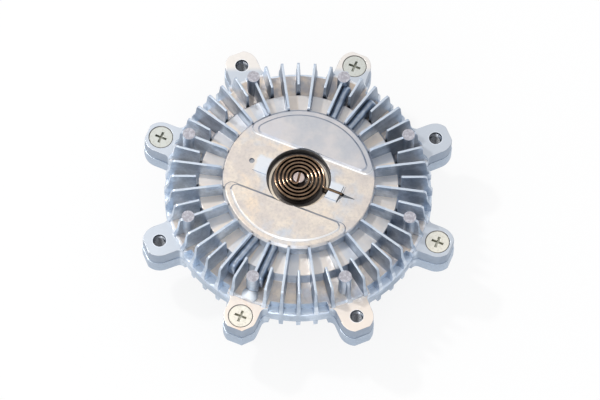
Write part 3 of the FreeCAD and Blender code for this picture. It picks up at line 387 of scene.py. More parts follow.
    def lugs_and_posts(self, color):
        """Machined lug faces, warmer on the near lugs, and the rough tops of the posts."""
        warmth = self.ramp(
            self.plus(self.y, self.times(self.patches, 20.0 * MM)), -40.0 * MM, -52.0 * MM
        )
        warm_face = self.lay(self.NEAR_LUG, self.RUSTY_LUG, self.apricot, 0.9)
        face = self.mix(warmth, self.SIDE_LUG, warm_face)
        face = self.lay(face, self.FAR_LUG, self.ramp(self.y, 66.0 * MM, 70.0 * MM))
        color = self.lay(color, face, self.lug_face)
        speckle = self.ramp(self.fine, 0.4, 0.65)
        rough_top = self.mix(speckle, self.DARK_SPECKLE, self.PALE_SPECKLE)
        return self.lay(color, rough_top, self.post_top)

    def walls(self):
        """Upright faces: slate blue as a painted cool reflection, with a tone of their own in each
        bay, painted light towards the near left and painted shade on the far side.
        """
        color = self.mix(self.mottle, self.SLATE, self.PALE_BLUE)
        color = self.lay(color, self.DARK_BAY, self.bay_shade, 0.35)
        # Painted light on the walls towards the near left, and painted shade on the far walls
        leftward = self.plus(self.times(self.x, 0.8), self.times(self.y, 0.6))
        painted_light_side = self.ramp(leftward, -10.0 * MM, -50.0 * MM)
        color = self.lay(color, self.PAINTED_LIGHT_WALL, painted_light_side, 0.35)
        color = self.lay(color, self.NEAR_WALL, self.near, 0.3)
        painted_shade_side = self.ramp(self.plus(self.y, self.times(self.x, 0.5)), 20.0 * MM, 50.0 * MM)
        color = self.lay(color, self.PAINTED_SHADE_WALL, painted_shade_side, 0.3)
        lug_side = self.ramp(self.radius, SEAT_EDGE + 1.3 * MM, SEAT_EDGE + 2.3 * MM)
        front = self.ramp(self.z, PARTING - 0.2 * MM, PARTING + 0.2 * MM)
        side_tone = self.mix(front, self.REAR_LUG_SIDE, self.FRONT_LUG_SIDE)
        color = self.lay(color, side_tone, lug_side, 0.8)
        return self.lay(color, self.DARK_PITS, self.pits, 0.25)

    def skirt(self, color):
        """The pale skirt between the lugs."""
        skirt = self.times(
            self.between(self.radius, SEAT_EDGE - 1.2 * MM, SEAT_EDGE + 1.3 * MM, 0.2 * MM),
            self.between(self.z, SEAT - 5.0 * MM, SEAT + 2.5 * MM, 0.5 * MM),
            self.inverse(self.lug_face),
        )
        return self.lay(color, self.SKIRT, skirt, self.ramp(self.clouds, 0.3, 0.6), 0.7)

    def pad_walls(self, color):
        """The pads' slopes: dark towards the back, with thin bright lines towards the front."""
        sloping = self.times(self.between(self.facing_z, 0.45, 0.92, 0.03), self.disc)
        front_wall = self.ramp(self.facing_y, 0.12, -0.12)
        any_wall = self.between(self.z, BAND + 0.08 * MM, BAND + 1.7 * MM, 0.04 * MM)
        back_wall = self.inverse(front_wall)
        color = self.lay(color, self.PAD_SHADE, sloping, any_wall, back_wall, 0.85)
        chord_line = self.times(
            self.between(self.z, BAND + 0.05 * MM, BAND + 0.55 * MM, 0.08 * MM),
            self.ramp(self.across, 0.0, 2.0 * MM),
        )
        step_line = self.times(
            self.between(self.z, BAND + 0.85 * MM, BAND + 1.7 * MM, 0.04 * MM),
            self.ramp(self.across, 2.0 * MM, 0.0),
        )
        lines = self.plus(chord_line, step_line)
        return self.lay(color, self.PAD_GLINT, sloping, front_wall, lines, 0.8)

    def recess_and_marks(self, color):
        """Painted shade in the coil's recess, its pale rib, and painted shade in the stake marks
        by the tab, with grey in the other marks.
        """
        # Painted shade in the coil's recess
        recess = self.times(
            self.ramp(self.radius, RECESS_RADIUS + 0.5 * MM, RECESS_RADIUS + 0.2 * MM),
            self.ramp(self.z, BAND - 0.2 * MM, BAND - 1.0 * MM),
        )
        color = self.lay(color, self.RECESS_SHADE, recess, 0.8)
        rib = self.times(
            self.between(self.radius, RECESS_RADIUS - 2.7 * MM, RECESS_RADIUS - MM, 0.1 * MM),
            self.between(self.z, COIL_RIB_TOP - 0.2 * MM, COIL_RIB_TOP + 0.2 * MM, 0.1 * MM),
        )
        color = self.lay(color, self.COIL_RIB, rib)
        # Painted shade in the stake marks by the tab; the other marks are grey
        marks = self.times(
            self.between(self.radius, 20.0 * MM, MARKS_REACH, 0.2 * MM),
            self.between(self.z, BAND - 1.0 * MM, BAND - 0.12 * MM, 0.06 * MM),
        )
        tab_side = self.ramp(self.along, -1.0 * MM, 1.0 * MM)
        return self.lay(color, self.mix(tab_side, self.SPARE_MARK, self.STAKE_SHADE), marks)

    def wear_and_painted_light(self, color):
        """Painted shade in the corners and in the gap round the screws, and a painted highlight
        along the edges, where the metal is also rubbed bright.
        """
        # Painted shade in the corners, from the occlusion of nearby faces
        seam = self.ramp(self.crevice(1.6 * MM), 0.35, 0.85)
        color = self.lay(color, self.SEAM_SHADE, seam, 0.75)
        # Painted highlight along the edges, which are also rubbed bright
        color = self.lay(color, self.RUBBED_HIGHLIGHT, self.ridge, 0.45)
        # Painted shade in the gap round each screw head
        for degrees in SCREW_ANGLES:
            ring = self.between(
                self.distance(polar(LUG_CIRCLE, degrees)),
                SCREW_HEAD_RADIUS - 0.05 * MM,
                SCREW_HEAD_RADIUS + 0.3 * MM,
                0.06 * MM,
            )
            color = self.lay(color, self.SCREW_RING, ring, 0.85)
        return self.lay(color, self.BRIGHT_DOME, self.dome, 0.9)

    def roughness(self):
        """Smooth metal, rougher on the posts' tops, the dome, rubbed edges and fin noses."""
        fin_nose = self.times(
            self.ramp(self.z, BAND - 1.3 * MM, BAND - 0.3 * MM),
            self.between(self.radius, DISC_RADIUS + 0.8 * MM, 47.0 * MM, 0.3 * MM),
        )
        return self.plus(
            0.32,
            self.times(self.fine, 0.2),
            self.times(self.post_top, 0.2),
            self.times(self.dome, 0.3),
            self.times(self.ridge, self.inverse(self.disc), 0.15),
            self.times(fin_nose, 0.35),
        )

    def build(self):
        """The finished material."""
        # Painted reflections: faces are coloured by which way they look, cream on top and slate
        # blue on the walls.
        upward = self.ramp(self.facing_z, 0.3, 0.85)
        color = self.mix(upward, self.walls(), self.tops())
        for step in (self.skirt, self.pad_walls, self.recess_and_marks, self.wear_and_painted_light):
            color = step(color)
        grain = self.noise(scale=2400.0, roughness=0.65)
        dents = self.noise(scale=320.0)
        self.bump(self.plus(grain, self.times(dents, 0.9)), strength=0.2, distance=0.12 * MM)
        return self.finish(color, self.roughness(), metallic=0.9)


def plain_metal(name, color, roughness, metallic=1.0, spread=0.12):
    """A metal with cloudy colour and fine roughness."""
    shader = Shader(name)
    clouds = shader.noise(scale=300.0, detail=4.0)
    dark = tuple(value * (1.0 - spread) for value in color)
    light = tuple(min(1.0, value * (1.0 + spread)) for value in color)
    mixed = shader.mix(shader.ramp(clouds, 0.3, 0.7), dark, light)
    fine = shader.noise(scale=2100.0)
    rough = shader.plus(shader.times(fine, 0.12), roughness - 0.06)
    shader.bump(fine, strength=0.06, distance=0.05 * MM)
    return shader.finish(mixed, rough, metallic)


def zinc_plate():
    """Screw heads between creamy and greenish grey, with painted shade in the cross and in the gap
    round the rim.
    """
    greenish = (0.66, 0.69, 0.66)
    creamy = (0.95, 0.92, 0.82)
    shader = Shader("zinc_skin")
    nearness = shader.plus(shader.y, shader.times(shader.noise(scale=60.0), 20.0 * MM))
    color = shader.mix(shader.ramp(nearness, 20.0 * MM, -50.0 * MM), greenish, creamy)
    fine = shader.noise(scale=900.0, detail=4.0)
    color = shader.lay(color, (0.5, 0.47, 0.4), shader.ramp(fine, 0.55, 0.3), 0.3)
    # Painted shade in the cross recess
    cross = shader.ramp(shader.z, SEAT - 0.55 * MM, SEAT - 1.1 * MM)
    color = shader.lay(color, (0.26, 0.27, 0.22), cross, 0.6)
    for degrees in SCREW_ANGLES:
        away = shader.distance(polar(LUG_CIRCLE, degrees))
        # Painted shade round the rim, in the gap between head and countersink
        rim = shader.ramp(away, SCREW_HEAD_RADIUS - 0.28 * MM, SCREW_HEAD_RADIUS - 0.1 * MM)
        near = shader.ramp(away, SCREW_HEAD_RADIUS + 1.0 * MM, SCREW_HEAD_RADIUS + 0.6 * MM)
        color = shader.lay(color, (0.13, 0.12, 0.10), rim, near, 0.85)
    shader.bump(fine, strength=0.1, distance=0.06 * MM)
    rough = shader.plus(0.26, shader.times(fine, 0.15))
    return shader.finish(color, rough, metallic=0.95)


def tapped_metal():
    """The fan holes' threads, with painted shade to the left and a painted highlight to the right.
    """
    shader = Shader("tapped_skin")
    painted_highlight = 0.0
    # Painted highlight on each hole's right side, over painted shade
    for degrees in TAPPED_ANGLES:
        centre = polar(LUG_CIRCLE, degrees)
        near = shader.ramp(shader.distance(centre), HOLE_RADIUS + 2.6 * MM, HOLE_RADIUS + 1.6 * MM)
        side = shader.ramp(shader.x, centre.x + 0.4 * MM, centre.x + 2.6 * MM)
        painted_highlight = shader.plus(painted_highlight, shader.times(near, side))
    color = shader.mix(painted_highlight, (0.17, 0.18, 0.20), (0.92, 0.95, 1.0))
    fine = shader.noise(scale=900.0)
    rough = shader.plus(0.14, shader.times(fine, 0.12))
    return shader.finish(color, rough, metallic=1.0)


def bimetal():
    """Bronze strip, brown on its top edge, with painted shade down its sides."""
    dark_brown = (0.16, 0.105, 0.070)
    brown = (0.31, 0.21, 0.14)
    # Painted shade down the strip's sides
    side_shade = (0.018, 0.014, 0.012)
    pale_side_shade = (0.05, 0.036, 0.028)
    shader = Shader("bimetal_skin")
    clouds = shader.noise(scale=240.0, detail=4.0)
    edge = shader.mix(shader.ramp(clouds, 0.3, 0.7), dark_brown, brown)
    sides = shader.mix(clouds, side_shade, pale_side_shade)
    top = shader.ramp(shader.z, BAND - 0.1 * MM, BAND + 0.4 * MM)
    rough = shader.plus(0.12, shader.times(shader.noise(scale=1500.0), 0.1))
    return shader.finish(shader.mix(top, sides, edge), rough, metallic=1.0)


MATERIALS = {
    "cast_aluminium": CastSkin().build(),
    "rotor_aluminium": plain_metal("rotor_skin", (0.66, 0.67, 0.69), 0.3),
    "shaft_steel": plain_metal("shaft_skin", (0.42, 0.42, 0.43), 0.33),
    "plate_steel": plain_metal("plate_skin", (0.55, 0.55, 0.55), 0.35),
    "spring_steel": plain_metal("spring_skin", (0.08, 0.08, 0.085), 0.4),
    "bearing_steel": plain_metal("bearing_skin", (0.68, 0.68, 0.69), 0.18, spread=0.05),
    "cage_steel": plain_metal("shield_skin", (0.5, 0.5, 0.48), 0.3),
    "pin_steel": plain_metal("pin_skin", (0.62, 0.52, 0.49), 0.3),
    "zinc_steel": zinc_plate(),
    "bimetal": bimetal(),
    "tapped_aluminium": tapped_metal(),
    "rib_aluminium": plain_metal("channel_rib_skin", (0.36, 0.42, 0.51), 0.3, spread=0.25),
    "seal_rubber": plain_metal("rubber_skin", (0.02, 0.02, 0.02), 0.6, metallic=0.0),
}

record = frame["record"]
SLOT_OF = {part["node"]: part["material_slot"] for part in record["subparts"]}
BODY_OF = {
    node: body for body, nodes in record["behaviour"]["bodies"].items() for node in nodes
}

for node, obj in frame["nodes"].items():
    material = MATERIALS[SLOT_OF[node]]
    for slot in obj.material_slots:
        slot.material = material
    if not obj.material_slots:
        obj.data.materials.append(material)


def new_object(name, data):
    obj = bpy.data.objects.new(name, data)
    bpy.context.scene.collection.objects.link(obj)
    return obj


def dress(piece, slot, look=None):
    """Give a piece its material slot, and the look of that slot unless another is named."""
    if not piece.data.materials:
        piece.data.materials.append(MATERIALS[look or slot])


def mesh_from(name, vertices, faces):
    mesh = bpy.data.meshes.new(name)
    mesh.from_pydata([tuple(vertex) for vertex in vertices], [], faces)
    mesh.update()
    return mesh


@contextlib.contextmanager
def edited(mesh):
    """A mesh's faces, edges and vertices to work on, written back at the end."""
    work = bmesh.new()
    work.from_mesh(mesh)
    yield work
    work.to_mesh(mesh)
    work.free()


def smooth(mesh, angle):
    """Smooth shading that breaks at edges sharper than an angle."""
    for polygon in mesh.polygons:
        polygon.use_smooth = True
    with edited(mesh) as work:
        for edge in work.edges:
            edge.smooth = edge.calc_face_angle(math.pi) < math.radians(angle)


# Cleaning and edge rounding. A share is how much of a piece's rounding an edge gets.
MERGE_DISTANCE = 2e-6
FLAT_ANGLE = 0.8
SHARP_ANGLE = 30.0
NARROW_CORNER = 35.0
OPEN_CORNER = 130.0
SHORT_EDGE_WIDTHS = 1.5
SHADING_ANGLE = 40.0
BEVEL_SEGMENTS = 2
FULL_SHARE = 1.0
FRONT_SHARE = 0.7
FINE_SHARE = 0.3
THREAD_LIP_SHARE = 0.25
NO_SHARE = 0.0


def clean(mesh):
    """Merge a tessellated mesh's doubled vertices and dissolve the lines inside its flat faces."""
    with edited(mesh) as work:
        bmesh.ops.remove_doubles(work, verts=work.verts, dist=MERGE_DISTANCE)
        bmesh.ops.dissolve_limit(
            work, angle_limit=math.radians(FLAT_ANGLE), verts=work.verts, edges=work.edges
        )


def weigh_edges(mesh, width, share):
    """Give each sharp edge its share of the rounding, and none where its corners leave no room."""
    with edited(mesh) as work:
        layer = work.edges.layers.float.new("bevel_weight_edge")
        for edge in work.edges:
            if len(edge.link_faces) == 2 and edge.calc_face_angle() > math.radians(SHARP_ANGLE):
                middle = (edge.verts[0].co + edge.verts[1].co) / 2
                edge[layer] = share(middle, edge.is_convex)
        for face in work.faces:
            for loop in face.loops:
                corner = math.degrees(loop.calc_angle())
                before = loop.link_loop_prev.edge
                shorter = min(loop.edge.calc_length(), before.calc_length())
                short = shorter < SHORT_EDGE_WIDTHS * width
                if corner < NARROW_CORNER or (short and corner < OPEN_CORNER):
                    loop.edge[layer] = NO_SHARE
                    before[layer] = NO_SHARE


def settle_normals(mesh):
    """Shade each corner with the faces round it that lean little, the large ones leading."""
    limit = math.cos(math.radians(SHADING_ANGLE))
    around = [[] for _ in mesh.vertices]
    for polygon in mesh.polygons:
        polygon.use_smooth = True
        for vertex in polygon.vertices:
            around[vertex].append((polygon.normal.copy(), polygon.area))
    normals = [None] * len(mesh.loops)
    for polygon in mesh.polygons:
        own = polygon.normal.copy()
        for corner, vertex in zip(polygon.loop_indices, polygon.vertices):
            total = own * polygon.area
            for other, area in around[vertex]:
                if other.dot(own) > limit:
                    total += other * area
            normals[corner] = total.normalized()
    mesh.normals_split_custom_set(normals)


def with_modifiers(obj):
    """The object's mesh with its modifiers carried out."""
    bpy.context.view_layer.update()
    evaluated = obj.evaluated_get(bpy.context.evaluated_depsgraph_get())
    return bpy.data.meshes.new_from_object(evaluated)


def full_share(middle, convex):
    return FULL_SHARE


def rounded_copy(node, width, share=full_share, carve=None):
    """A copy of a node's mesh with its sharp edges rounded, shown in the node's place."""
    mesh = frame["nodes"][node].data.copy()
    mesh.name = node + "_rounded"
    clean(mesh)
    if carve:
        mesh = carve(mesh)
    weigh_edges(mesh, width, share)
    sharp = new_object("sharp_copy", mesh)
    bevel = sharp.modifiers.new("bevel", "BEVEL")
    bevel.width = width
    bevel.segments = BEVEL_SEGMENTS
    bevel.limit_method = "WEIGHT"
    bevel.use_clamp_overlap = False
    rounded = with_modifiers(sharp)
    bpy.data.objects.remove(sharp)
    settle_normals(rounded)
    piece = new_object(node + "_rounded", rounded)
    dress(piece, SLOT_OF[node])
    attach(piece, BODY_OF[node])
    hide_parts(node)


def carved(mesh, cutter_meshes):
    """The mesh less the cutters' meshes, by an exact boolean."""
    target = new_object("carve_target", mesh)
    cutters = [new_object("carve_cutter", cutter_mesh) for cutter_mesh in cutter_meshes]
    for cutter in cutters:
        modifier = target.modifiers.new("carve", "BOOLEAN")
        modifier.operation = "DIFFERENCE"
        modifier.solver = "EXACT"
        modifier.object = cutter
    result = with_modifiers(target)
    result.name = mesh.name
    for obj in (target, *cutters):
        bpy.data.objects.remove(obj)
    clean(result)
    return result


def prism(name, corners, low, high):
    """A closed prism on a plan outline, its corners anticlockwise."""
    count = len(corners)
    vertices = [(x, y, low) for x, y in corners] + [(x, y, high) for x, y in corners]
    faces = [tuple(reversed(range(count))), tuple(range(count, 2 * count))]
    for index in range(count):
        after = (index + 1) % count
        faces.append((index, after, count + after, count + index))
    return mesh_from(name, vertices, faces)


# The fan holes' threads: each hole's wall is carved out below its lip, and a helix fills it.
# The profile gives shares of the pitch with the radius there.
THREAD_ROOT = 3.8 * MM
THREAD_PITCH = 1.25 * MM
THREAD_LIP = 0.35 * MM
THREAD_START = 0.05
THREAD_STEPS = 40
THREAD_PROFILE = (
    (0.0, HOLE_RADIUS),
    (0.36, HOLE_RADIUS),
    (0.63, THREAD_ROOT),
    (0.73, THREAD_ROOT),
    (1.0, HOLE_RADIUS),
)
HOLE_CORNERS = 32

# Stake marks at the coil's tab: depth, and plan corners in the disc's own frame, in millimetres
STAKE_MARKS = (
    (0.3, [(22.6, 0.6), (23.0, 0.6), (23.0, 4.3), (22.7, 4.3)]),
    (0.4, [(22.3, -5.3), (22.7, -5.3), (23.9, -1.9), (24.6, -0.8), (22.6, -0.6)]),
    (0.35, [(24.0, -1.4), (30.4, -0.2), (30.4, 0.1), (24.0, 0.5)]),
)


def hole_cutters(low, high):
    """Prisms that take the fan holes' walls away a little beyond the threads' roots."""
    radius = THREAD_ROOT + 0.05 * MM
    cutters = []
    for degrees in TAPPED_ANGLES:
        centre = polar(LUG_CIRCLE, degrees)
        corners = []
        for index in range(HOLE_CORNERS):
            turn = 2 * math.pi * index / HOLE_CORNERS
            corners.append(
                (centre.x + radius * math.cos(turn), centre.y + radius * math.sin(turn))
            )
        cutters.append(prism("hole_wall", corners, low, high))
    return cutters


def disc_corners(points):
    """Plan corners in the frame, from points in the disc's own frame in millimetres."""
    turn = Matrix.Rotation(math.radians(DISC_TURN), 3, "Z")
    return [tuple((turn @ Vector((x * MM, y * MM, 0)))[:2]) for x, y in points]


def carve_front(mesh):
    """Cut away the fan holes' walls, and cut in the stake marks round the coil's tab."""
    cutters = hole_cutters(PARTING - 1.0 * MM, SEAT - THREAD_LIP)
    for depth, corners in STAKE_MARKS:
        low = BAND - depth * MM
        cutters.append(prism("stake_mark", disc_corners(corners), low, BAND + 2.0 * MM))
    return carved(mesh, cutters)


def carve_rear(mesh):
    return carved(mesh, hole_cutters(REAR_LUG_FOOT + THREAD_LIP, PARTING + 1.0 * MM))


def front_share(middle, convex):
    """How much of the rounding an edge of the front casting gets."""
    for degrees in SCREW_ANGLES:
        away = (middle - polar(LUG_CIRCLE, degrees, middle.z)).length
        if away < SCREW_HEAD_RADIUS + 0.6 * MM:
            return FINE_SHARE
    for degrees in TAPPED_ANGLES:
        away = (middle - polar(LUG_CIRCLE, degrees, middle.z)).length
        if away < HOLE_RADIUS + 0.8 * MM:
            return THREAD_LIP_SHARE
    radius = Vector(middle[:2]).length
    if radius < DISC_RADIUS + 0.7 * MM and middle.z > BAND - 1.5 * MM:
        if not convex:
            return NO_SHARE
        if middle.z < BAND + 1.0 * MM and radius < MARKS_REACH:
            return FINE_SHARE
    return FRONT_SHARE


def threads():
    """The four fan holes' threads as one mesh of helical walls."""
    low = REAR_LUG_FOOT + THREAD_LIP
    high = SEAT - THREAD_LIP
    steps = (int((high - low) / THREAD_PITCH) - 1) * THREAD_STEPS
    width = len(THREAD_PROFILE)
    vertices = []
    faces = []
    for degrees in TAPPED_ANGLES:
        centre = polar(LUG_CIRCLE, degrees)
        first = len(vertices)
        for step in range(steps + 1):
            turn = 2 * math.pi * step / THREAD_STEPS
            outward = Vector((math.cos(turn), math.sin(turn), 0))
            base = low + THREAD_PITCH * (step / THREAD_STEPS + THREAD_START)
            for share, radius in THREAD_PROFILE:
                height = base + share * THREAD_PITCH
                vertices.append(centre + outward * radius + Vector((0, 0, height)))
        for step in range(steps):
            for row in range(width - 1):
                corner = first + step * width + row
                faces.append((corner, corner + 1, corner + width + 1, corner + width))
    piece = new_object("fan_hole_threads", mesh_from("fan_hole_threads", vertices, faces))
    smooth(piece.data, angle=40)
    dress(piece, "cast_aluminium", "tapped_aluminium")
    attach(piece, "housing")


# The channel ribs: each fin's angle with the side of it that the rib is on, the rib's section,
# and how far its crest drops at each reach from the axis, both in millimetres
CHANNEL_RIBS = ((67.5, -1), (52.5, -1), (-112.5, 1), (-127.5, 1))
CHANNEL_RIB_FOOT = 49.0 * MM
CHANNEL_RIB_CREST = 57.4 * MM
CHANNEL_RIB_OFFSET = 2.7 * MM
CHANNEL_RIB_HALF_WIDTH = 2.1 * MM
CHANNEL_RIB_BACK_STEPS = 8
CHANNEL_RIB_STATIONS = ((38.8, 0.0), (56.0, 0.0), (57.6, 0.5), (58.7, 1.6), (59.3, 3.6))


def channel_rib_section(drop):
    """A rib's outline as offsets from its fin and heights, its round back lowered by a drop."""
    outline = [(CHANNEL_RIB_OFFSET + CHANNEL_RIB_HALF_WIDTH, CHANNEL_RIB_FOOT)]
    for step in range(CHANNEL_RIB_BACK_STEPS + 1):
        turn = math.pi * step / CHANNEL_RIB_BACK_STEPS
        offset = CHANNEL_RIB_OFFSET + CHANNEL_RIB_HALF_WIDTH * math.cos(turn)
        rise = CHANNEL_RIB_HALF_WIDTH * (math.sin(turn) - 1.0)
        outline.append((offset, CHANNEL_RIB_CREST - drop * MM + rise))
    outline.append((CHANNEL_RIB_OFFSET - CHANNEL_RIB_HALF_WIDTH, CHANNEL_RIB_FOOT))
    return outline


def channel_ribs():
    """Four round-backed ribs, each along one side of a long fin, as one mesh of closed bars."""
    work = bmesh.new()
    for fin_angle, side in CHANNEL_RIBS:
        along = polar(1.0, fin_angle)
        across = polar(1.0, fin_angle + 90 * side)
        rings = []
        for reach, drop in CHANNEL_RIB_STATIONS:
            ring = []
            for offset, height in channel_rib_section(drop):
                place = along * (reach * MM) + across * offset + Vector((0, 0, height))
                ring.append(work.verts.new(place))
            rings.append(ring)
        for inner, outer in zip(rings, rings[1:]):
            for index in range(len(inner)):
                after = (index + 1) % len(inner)
                work.faces.new((inner[index], inner[after], outer[after], outer[index]))
        work.faces.new(rings[0])
        work.faces.new(list(reversed(rings[-1])))
    bmesh.ops.recalc_face_normals(work, faces=work.faces)
    mesh = bpy.data.meshes.new("channel_ribs")
    work.to_mesh(mesh)
    work.free()
    piece = new_object("channel_ribs", mesh)
    smooth(mesh, angle=35)
    dress(piece, "cast_aluminium", "rib_aluminium")
    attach(piece, "housing")


# The coil's strip, from its tongue in the pin's slot to its tab in the anchor's slit.
# Reaches are along the slot or the slit from the axis, in millimetres.
STRIP_HALF = 0.475 * MM
STRIP_LIFT = 0.5 * MM
STRIP_TOP = 0.6 * MM
STRIP_CROWN = 0.14 * MM
STRIP_SHOULDER = 0.24 * MM
STRIP_CROWN_SHARE = 0.88
COIL_INNER_RADIUS = 3.75 * MM
COIL_OUTER_RADIUS = 13.54 * MM
COIL_START = PIN_SLOT_TURN - 180
COIL_END = DISC_TURN - 5 * 360
COIL_STEP = 4.0
COIL_FIRST = 9
TONGUE_REACHES = (-2.95, -1.5, 0.0, 1.5, 2.4)
TAB_REACHES = (15.0, 17.0, 19.0, 21.0, 23.55)
TAB_LEAD = 0.9 * MM
INNER_PULL = 1.0 * MM
OUTER_PULL = 0.55 * MM
BEND_STEPS = 8


def coil_spiral():
    """The coil's turns as half circles round two centres, from the pin outwards."""
    sweep = COIL_START - COIL_END
    pitch = (COIL_OUTER_RADIUS - STRIP_HALF - COIL_INNER_RADIUS) / (sweep / 360)
    shift = pitch / 4
    start_line = polar(1.0, COIL_START)
    count = int(sweep / COIL_STEP)
    spiral = []
    for index in range(count + 1):
        angle = COIL_START - sweep * index / count
        half_turn = int((COIL_START - angle) / 180)
        centre = start_line * (shift if half_turn % 2 else -shift)
        radius = COIL_INNER_RADIUS + shift * (1 + 2 * half_turn)
        toward = polar(1.0, angle)
        along = centre.dot(toward)
        spiral.append(toward * (along + math.sqrt(radius**2 - centre.length_squared + along**2)))
    return spiral


def bend(start, start_way, end, end_way, pull):
    """The points inside a smooth bend between two straight ways."""
    points = []
    for step in range(1, BEND_STEPS):
        share = step / BEND_STEPS
        rest = 1 - share
        points.append(
            start * rest**3
            + (start + start_way * pull) * 3 * rest**2 * share
            + (end - end_way * pull) * 3 * rest * share**2
            + end * share**3
        )
    return points


def coil_path():
    """The strip's centre line, with how far each of its points follows the housing."""
    start_line = polar(1.0, COIL_START)
    tab_line = polar(1.0, DISC_TURN)
    spiral = coil_spiral()
    body = spiral[COIL_FIRST:-1]
    tongue = [start_line * (reach * MM) for reach in TONGUE_REACHES]
    inner_way = (body[1] - body[0]).normalized()
    inner_bend = bend(tongue[-1], start_line, body[0], inner_way, INNER_PULL)
    outer_way = (body[-1] - body[-2]).normalized()
    tab = [tab_line * (spiral[-1].length + TAB_LEAD)]
    outer_bend = bend(body[-1], outer_way, tab[0], tab_line, OUTER_PULL)
    tab += [tab_line * (reach * MM) for reach in TAB_REACHES]
    lengths = [0.0]
    for before, after in zip(body, body[1:]):
        lengths.append(lengths[-1] + (after - before).length)
    shares = [0.0] * (len(tongue) + len(inner_bend))
    shares += [length / lengths[-1] for length in lengths]
    shares += [1.0] * (len(outer_bend) + len(tab))
    return tongue + inner_bend + body + outer_bend + tab, shares


def strip_profile():
    """The strip's section with its crowned top edge, as offsets across it and heights."""
    low = RECESS_FLOOR + STRIP_LIFT
    high = BAND + STRIP_TOP
    crown = STRIP_CROWN_SHARE * STRIP_HALF
    return [
        (-STRIP_HALF, low),
        (-STRIP_HALF, high - STRIP_SHOULDER),
        (-crown, high - STRIP_CROWN),
        (0, high),
        (crown, high - STRIP_CROWN),
        (STRIP_HALF, high - STRIP_SHOULDER),
        (STRIP_HALF, low),
    ]


def bimetal_coil():
    """The coil as one bent strip."""
    points, shares = coil_path()
    profile = strip_profile()
    vertices = []
    for index, point in enumerate(points):
        before = points[max(index - 1, 0)]
        after = points[min(index + 1, len(points) - 1)]
        way = (after - before).normalized()
        side = Vector((way.y, -way.x, 0))
        for offset, height in profile:
            vertices.append(point + side * offset + Vector((0, 0, height)))
    width = len(profile)
    faces = []
    for index in range(len(points) - 1):
        for row in range(width):
            corner = index * width + row
            beside = index * width + (row + 1) % width
            faces.append((corner, corner + width, beside + width, beside))
    faces.append(tuple(range(width)))
    faces.append(tuple(reversed(range((len(points) - 1) * width, len(points) * width))))
    piece = new_object("bimetal_strip", mesh_from("bimetal_strip", vertices, faces))
    with edited(piece.data) as work:
        bmesh.ops.recalc_face_normals(work, faces=work.faces)
    smooth(piece.data, angle=25)
    dress(piece, "bimetal")
    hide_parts("bimetal_coil")
    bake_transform(piece)


rounded_copy("front_housing", width=0.4 * MM, share=front_share, carve=carve_front)
rounded_copy("rear_housing", width=0.3 * MM, carve=carve_rear)
for index in range(4):
    rounded_copy("housing_screw_%d" % (index + 1), width=0.16 * MM)
rounded_copy("control_pin", width=0.12 * MM)
rounded_copy("drive_shaft", width=0.4 * MM)
threads()
channel_ribs()
bimetal_coil()


# Floor, lights and world
FLOOR_SIZE = 6.0
FLOOR_WHITE = (0.86, 0.86, 0.86)
FLOOR_GLOW = 0.85
LIGHT_TARGET = Vector((0, 0, 40 * MM))
LIGHT_DISTANCE = 1.9
SKY_LOW = (0.74, 0.82, 0.94)
SKY_HIGH = (0.93, 0.91, 0.89)
SKY_HIGH_POSITION = 0.9
SKY_STRENGTH = 0.95


def floor_material():
    """White where it is seen, with a share of the object's shadow kept."""
    material = bpy.data.materials.new("floor_white")
    tree = NodeTree(material)
    tree.nodes.remove(tree.nodes["Principled BSDF"])
    rays = tree.add("LightPath").outputs
    seen = tree.math("MAXIMUM", rays["Is Camera Ray"], rays["Is Glossy Ray"])
    seen = tree.math("MAXIMUM", seen, rays["Is Transmission Ray"])
    diffuse = tree.add("BsdfDiffuse", {"Color": FLOOR_WHITE})
    glow = tree.add("Emission", {"Color": (1.0, 1.0, 1.0)})
    shaders = (tree.times(seen, FLOOR_GLOW), diffuse.outputs[0], glow.outputs[0])
    mixed = tree.add("MixShader", enumerate(shaders))
    tree.put(tree.nodes["Material Output"].inputs["Surface"], mixed.outputs[0])
    return material


def area_light(name, azimuth, elevation, size, power, color):
    data = bpy.data.lights.new(name, "AREA")
    data.shape = "DISK"
    data.size = size
    data.energy = power
    data.color = color
    light = new_object(name, data)
    flat = LIGHT_DISTANCE * math.cos(math.radians(elevation))
    location = polar(flat, azimuth, LIGHT_DISTANCE * math.sin(math.radians(elevation)))
    light.location = location
    light.rotation_mode = "QUATERNION"
    light.rotation_quaternion = (LIGHT_TARGET - location).to_track_quat("-Z", "Y")


def white_floor():
    half = FLOOR_SIZE / 2
    corners = [(-half, -half, 0), (half, -half, 0), (half, half, 0), (-half, half, 0)]
    floor = new_object("floor", mesh_from("floor", corners, [(0, 1, 2, 3)]))
    floor.data.materials.append(floor_material())


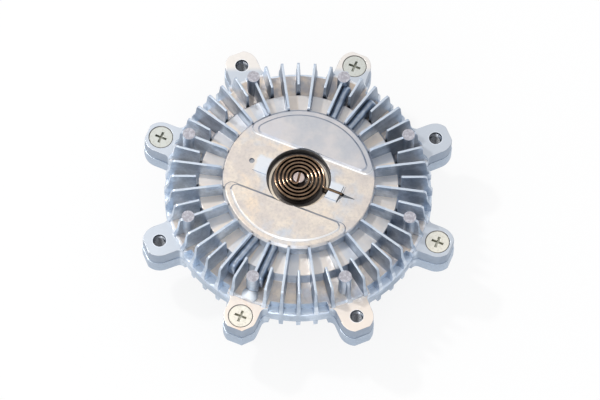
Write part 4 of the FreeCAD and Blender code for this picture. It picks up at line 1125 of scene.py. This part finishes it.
def pale_world():
    """Soft light from all round, a little bluer low down than overhead."""
    world = bpy.data.worlds.new("studio")
    bpy.context.scene.world = world
    sky = NodeTree(world)
    upness = sky.split(sky.add("TexCoord").outputs["Generated"])[2]
    gradient = sky.add("ValToRGB", {0: upness})
    low_end, high_end = gradient.color_ramp.elements
    low_end.position = 0.0
    low_end.color = (*SKY_LOW, 1.0)
    high_end.position = SKY_HIGH_POSITION
    high_end.color = (*SKY_HIGH, 1.0)
    background = sky.nodes["Background"]
    sky.put(background.inputs["Color"], gradient.outputs[0])
    sky.put(background.inputs["Strength"], SKY_STRENGTH)


white_floor()
area_light("key", 150, 58, size=0.13, power=11.0, color=(1.0, 0.98, 0.95))
area_light("fill", -105, 35, size=0.9, power=6.0, color=(0.95, 0.97, 1.0))
pale_world()

# Camera, from the fit of the photograph; the offsets put the part where the photograph has it
CAMERA_AZIMUTH = math.radians(-1.803)
CAMERA_ELEVATION = math.radians(64.926)
CAMERA_ROLL = math.radians(1.877)
CAMERA_DISTANCE = 1.9722
CAMERA_TO_RIGHT = 0.8 * MM
CAMERA_DOWN = 5.58 * MM
CAMERA_LENS = 232.9
CAMERA_SENSOR = 36.0
CAMERA_CLIP = 0.1


def fitted_camera():
    """A camera that looks at the middle of the seat plane, rolled and moved as the fit says."""
    back = Vector(
        (
            math.sin(CAMERA_AZIMUTH) * math.cos(CAMERA_ELEVATION),
            -math.cos(CAMERA_AZIMUTH) * math.cos(CAMERA_ELEVATION),
            math.sin(CAMERA_ELEVATION),
        )
    )
    level_right = Vector((math.cos(CAMERA_AZIMUTH), math.sin(CAMERA_AZIMUTH), 0))
    level_up = back.cross(level_right)
    right = math.cos(CAMERA_ROLL) * level_right + math.sin(CAMERA_ROLL) * level_up
    up = math.cos(CAMERA_ROLL) * level_up - math.sin(CAMERA_ROLL) * level_right
    place = Vector((0, 0, SEAT)) + back * CAMERA_DISTANCE
    place = place + right * CAMERA_TO_RIGHT - up * CAMERA_DOWN
    data = bpy.data.cameras.new("camera")
    data.lens = CAMERA_LENS
    data.sensor_width = CAMERA_SENSOR
    data.clip_start = CAMERA_CLIP
    camera = new_object("camera", data)
    camera.matrix_world = Matrix(
        (
            (right.x, up.x, back.x, place.x),
            (right.y, up.y, back.y, place.y),
            (right.z, up.z, back.z, place.z),
            (0, 0, 0, 1),
        )
    )
    return camera


bpy.context.scene.camera = fitted_camera()
bpy.context.scene.view_settings.view_transform = "Standard"
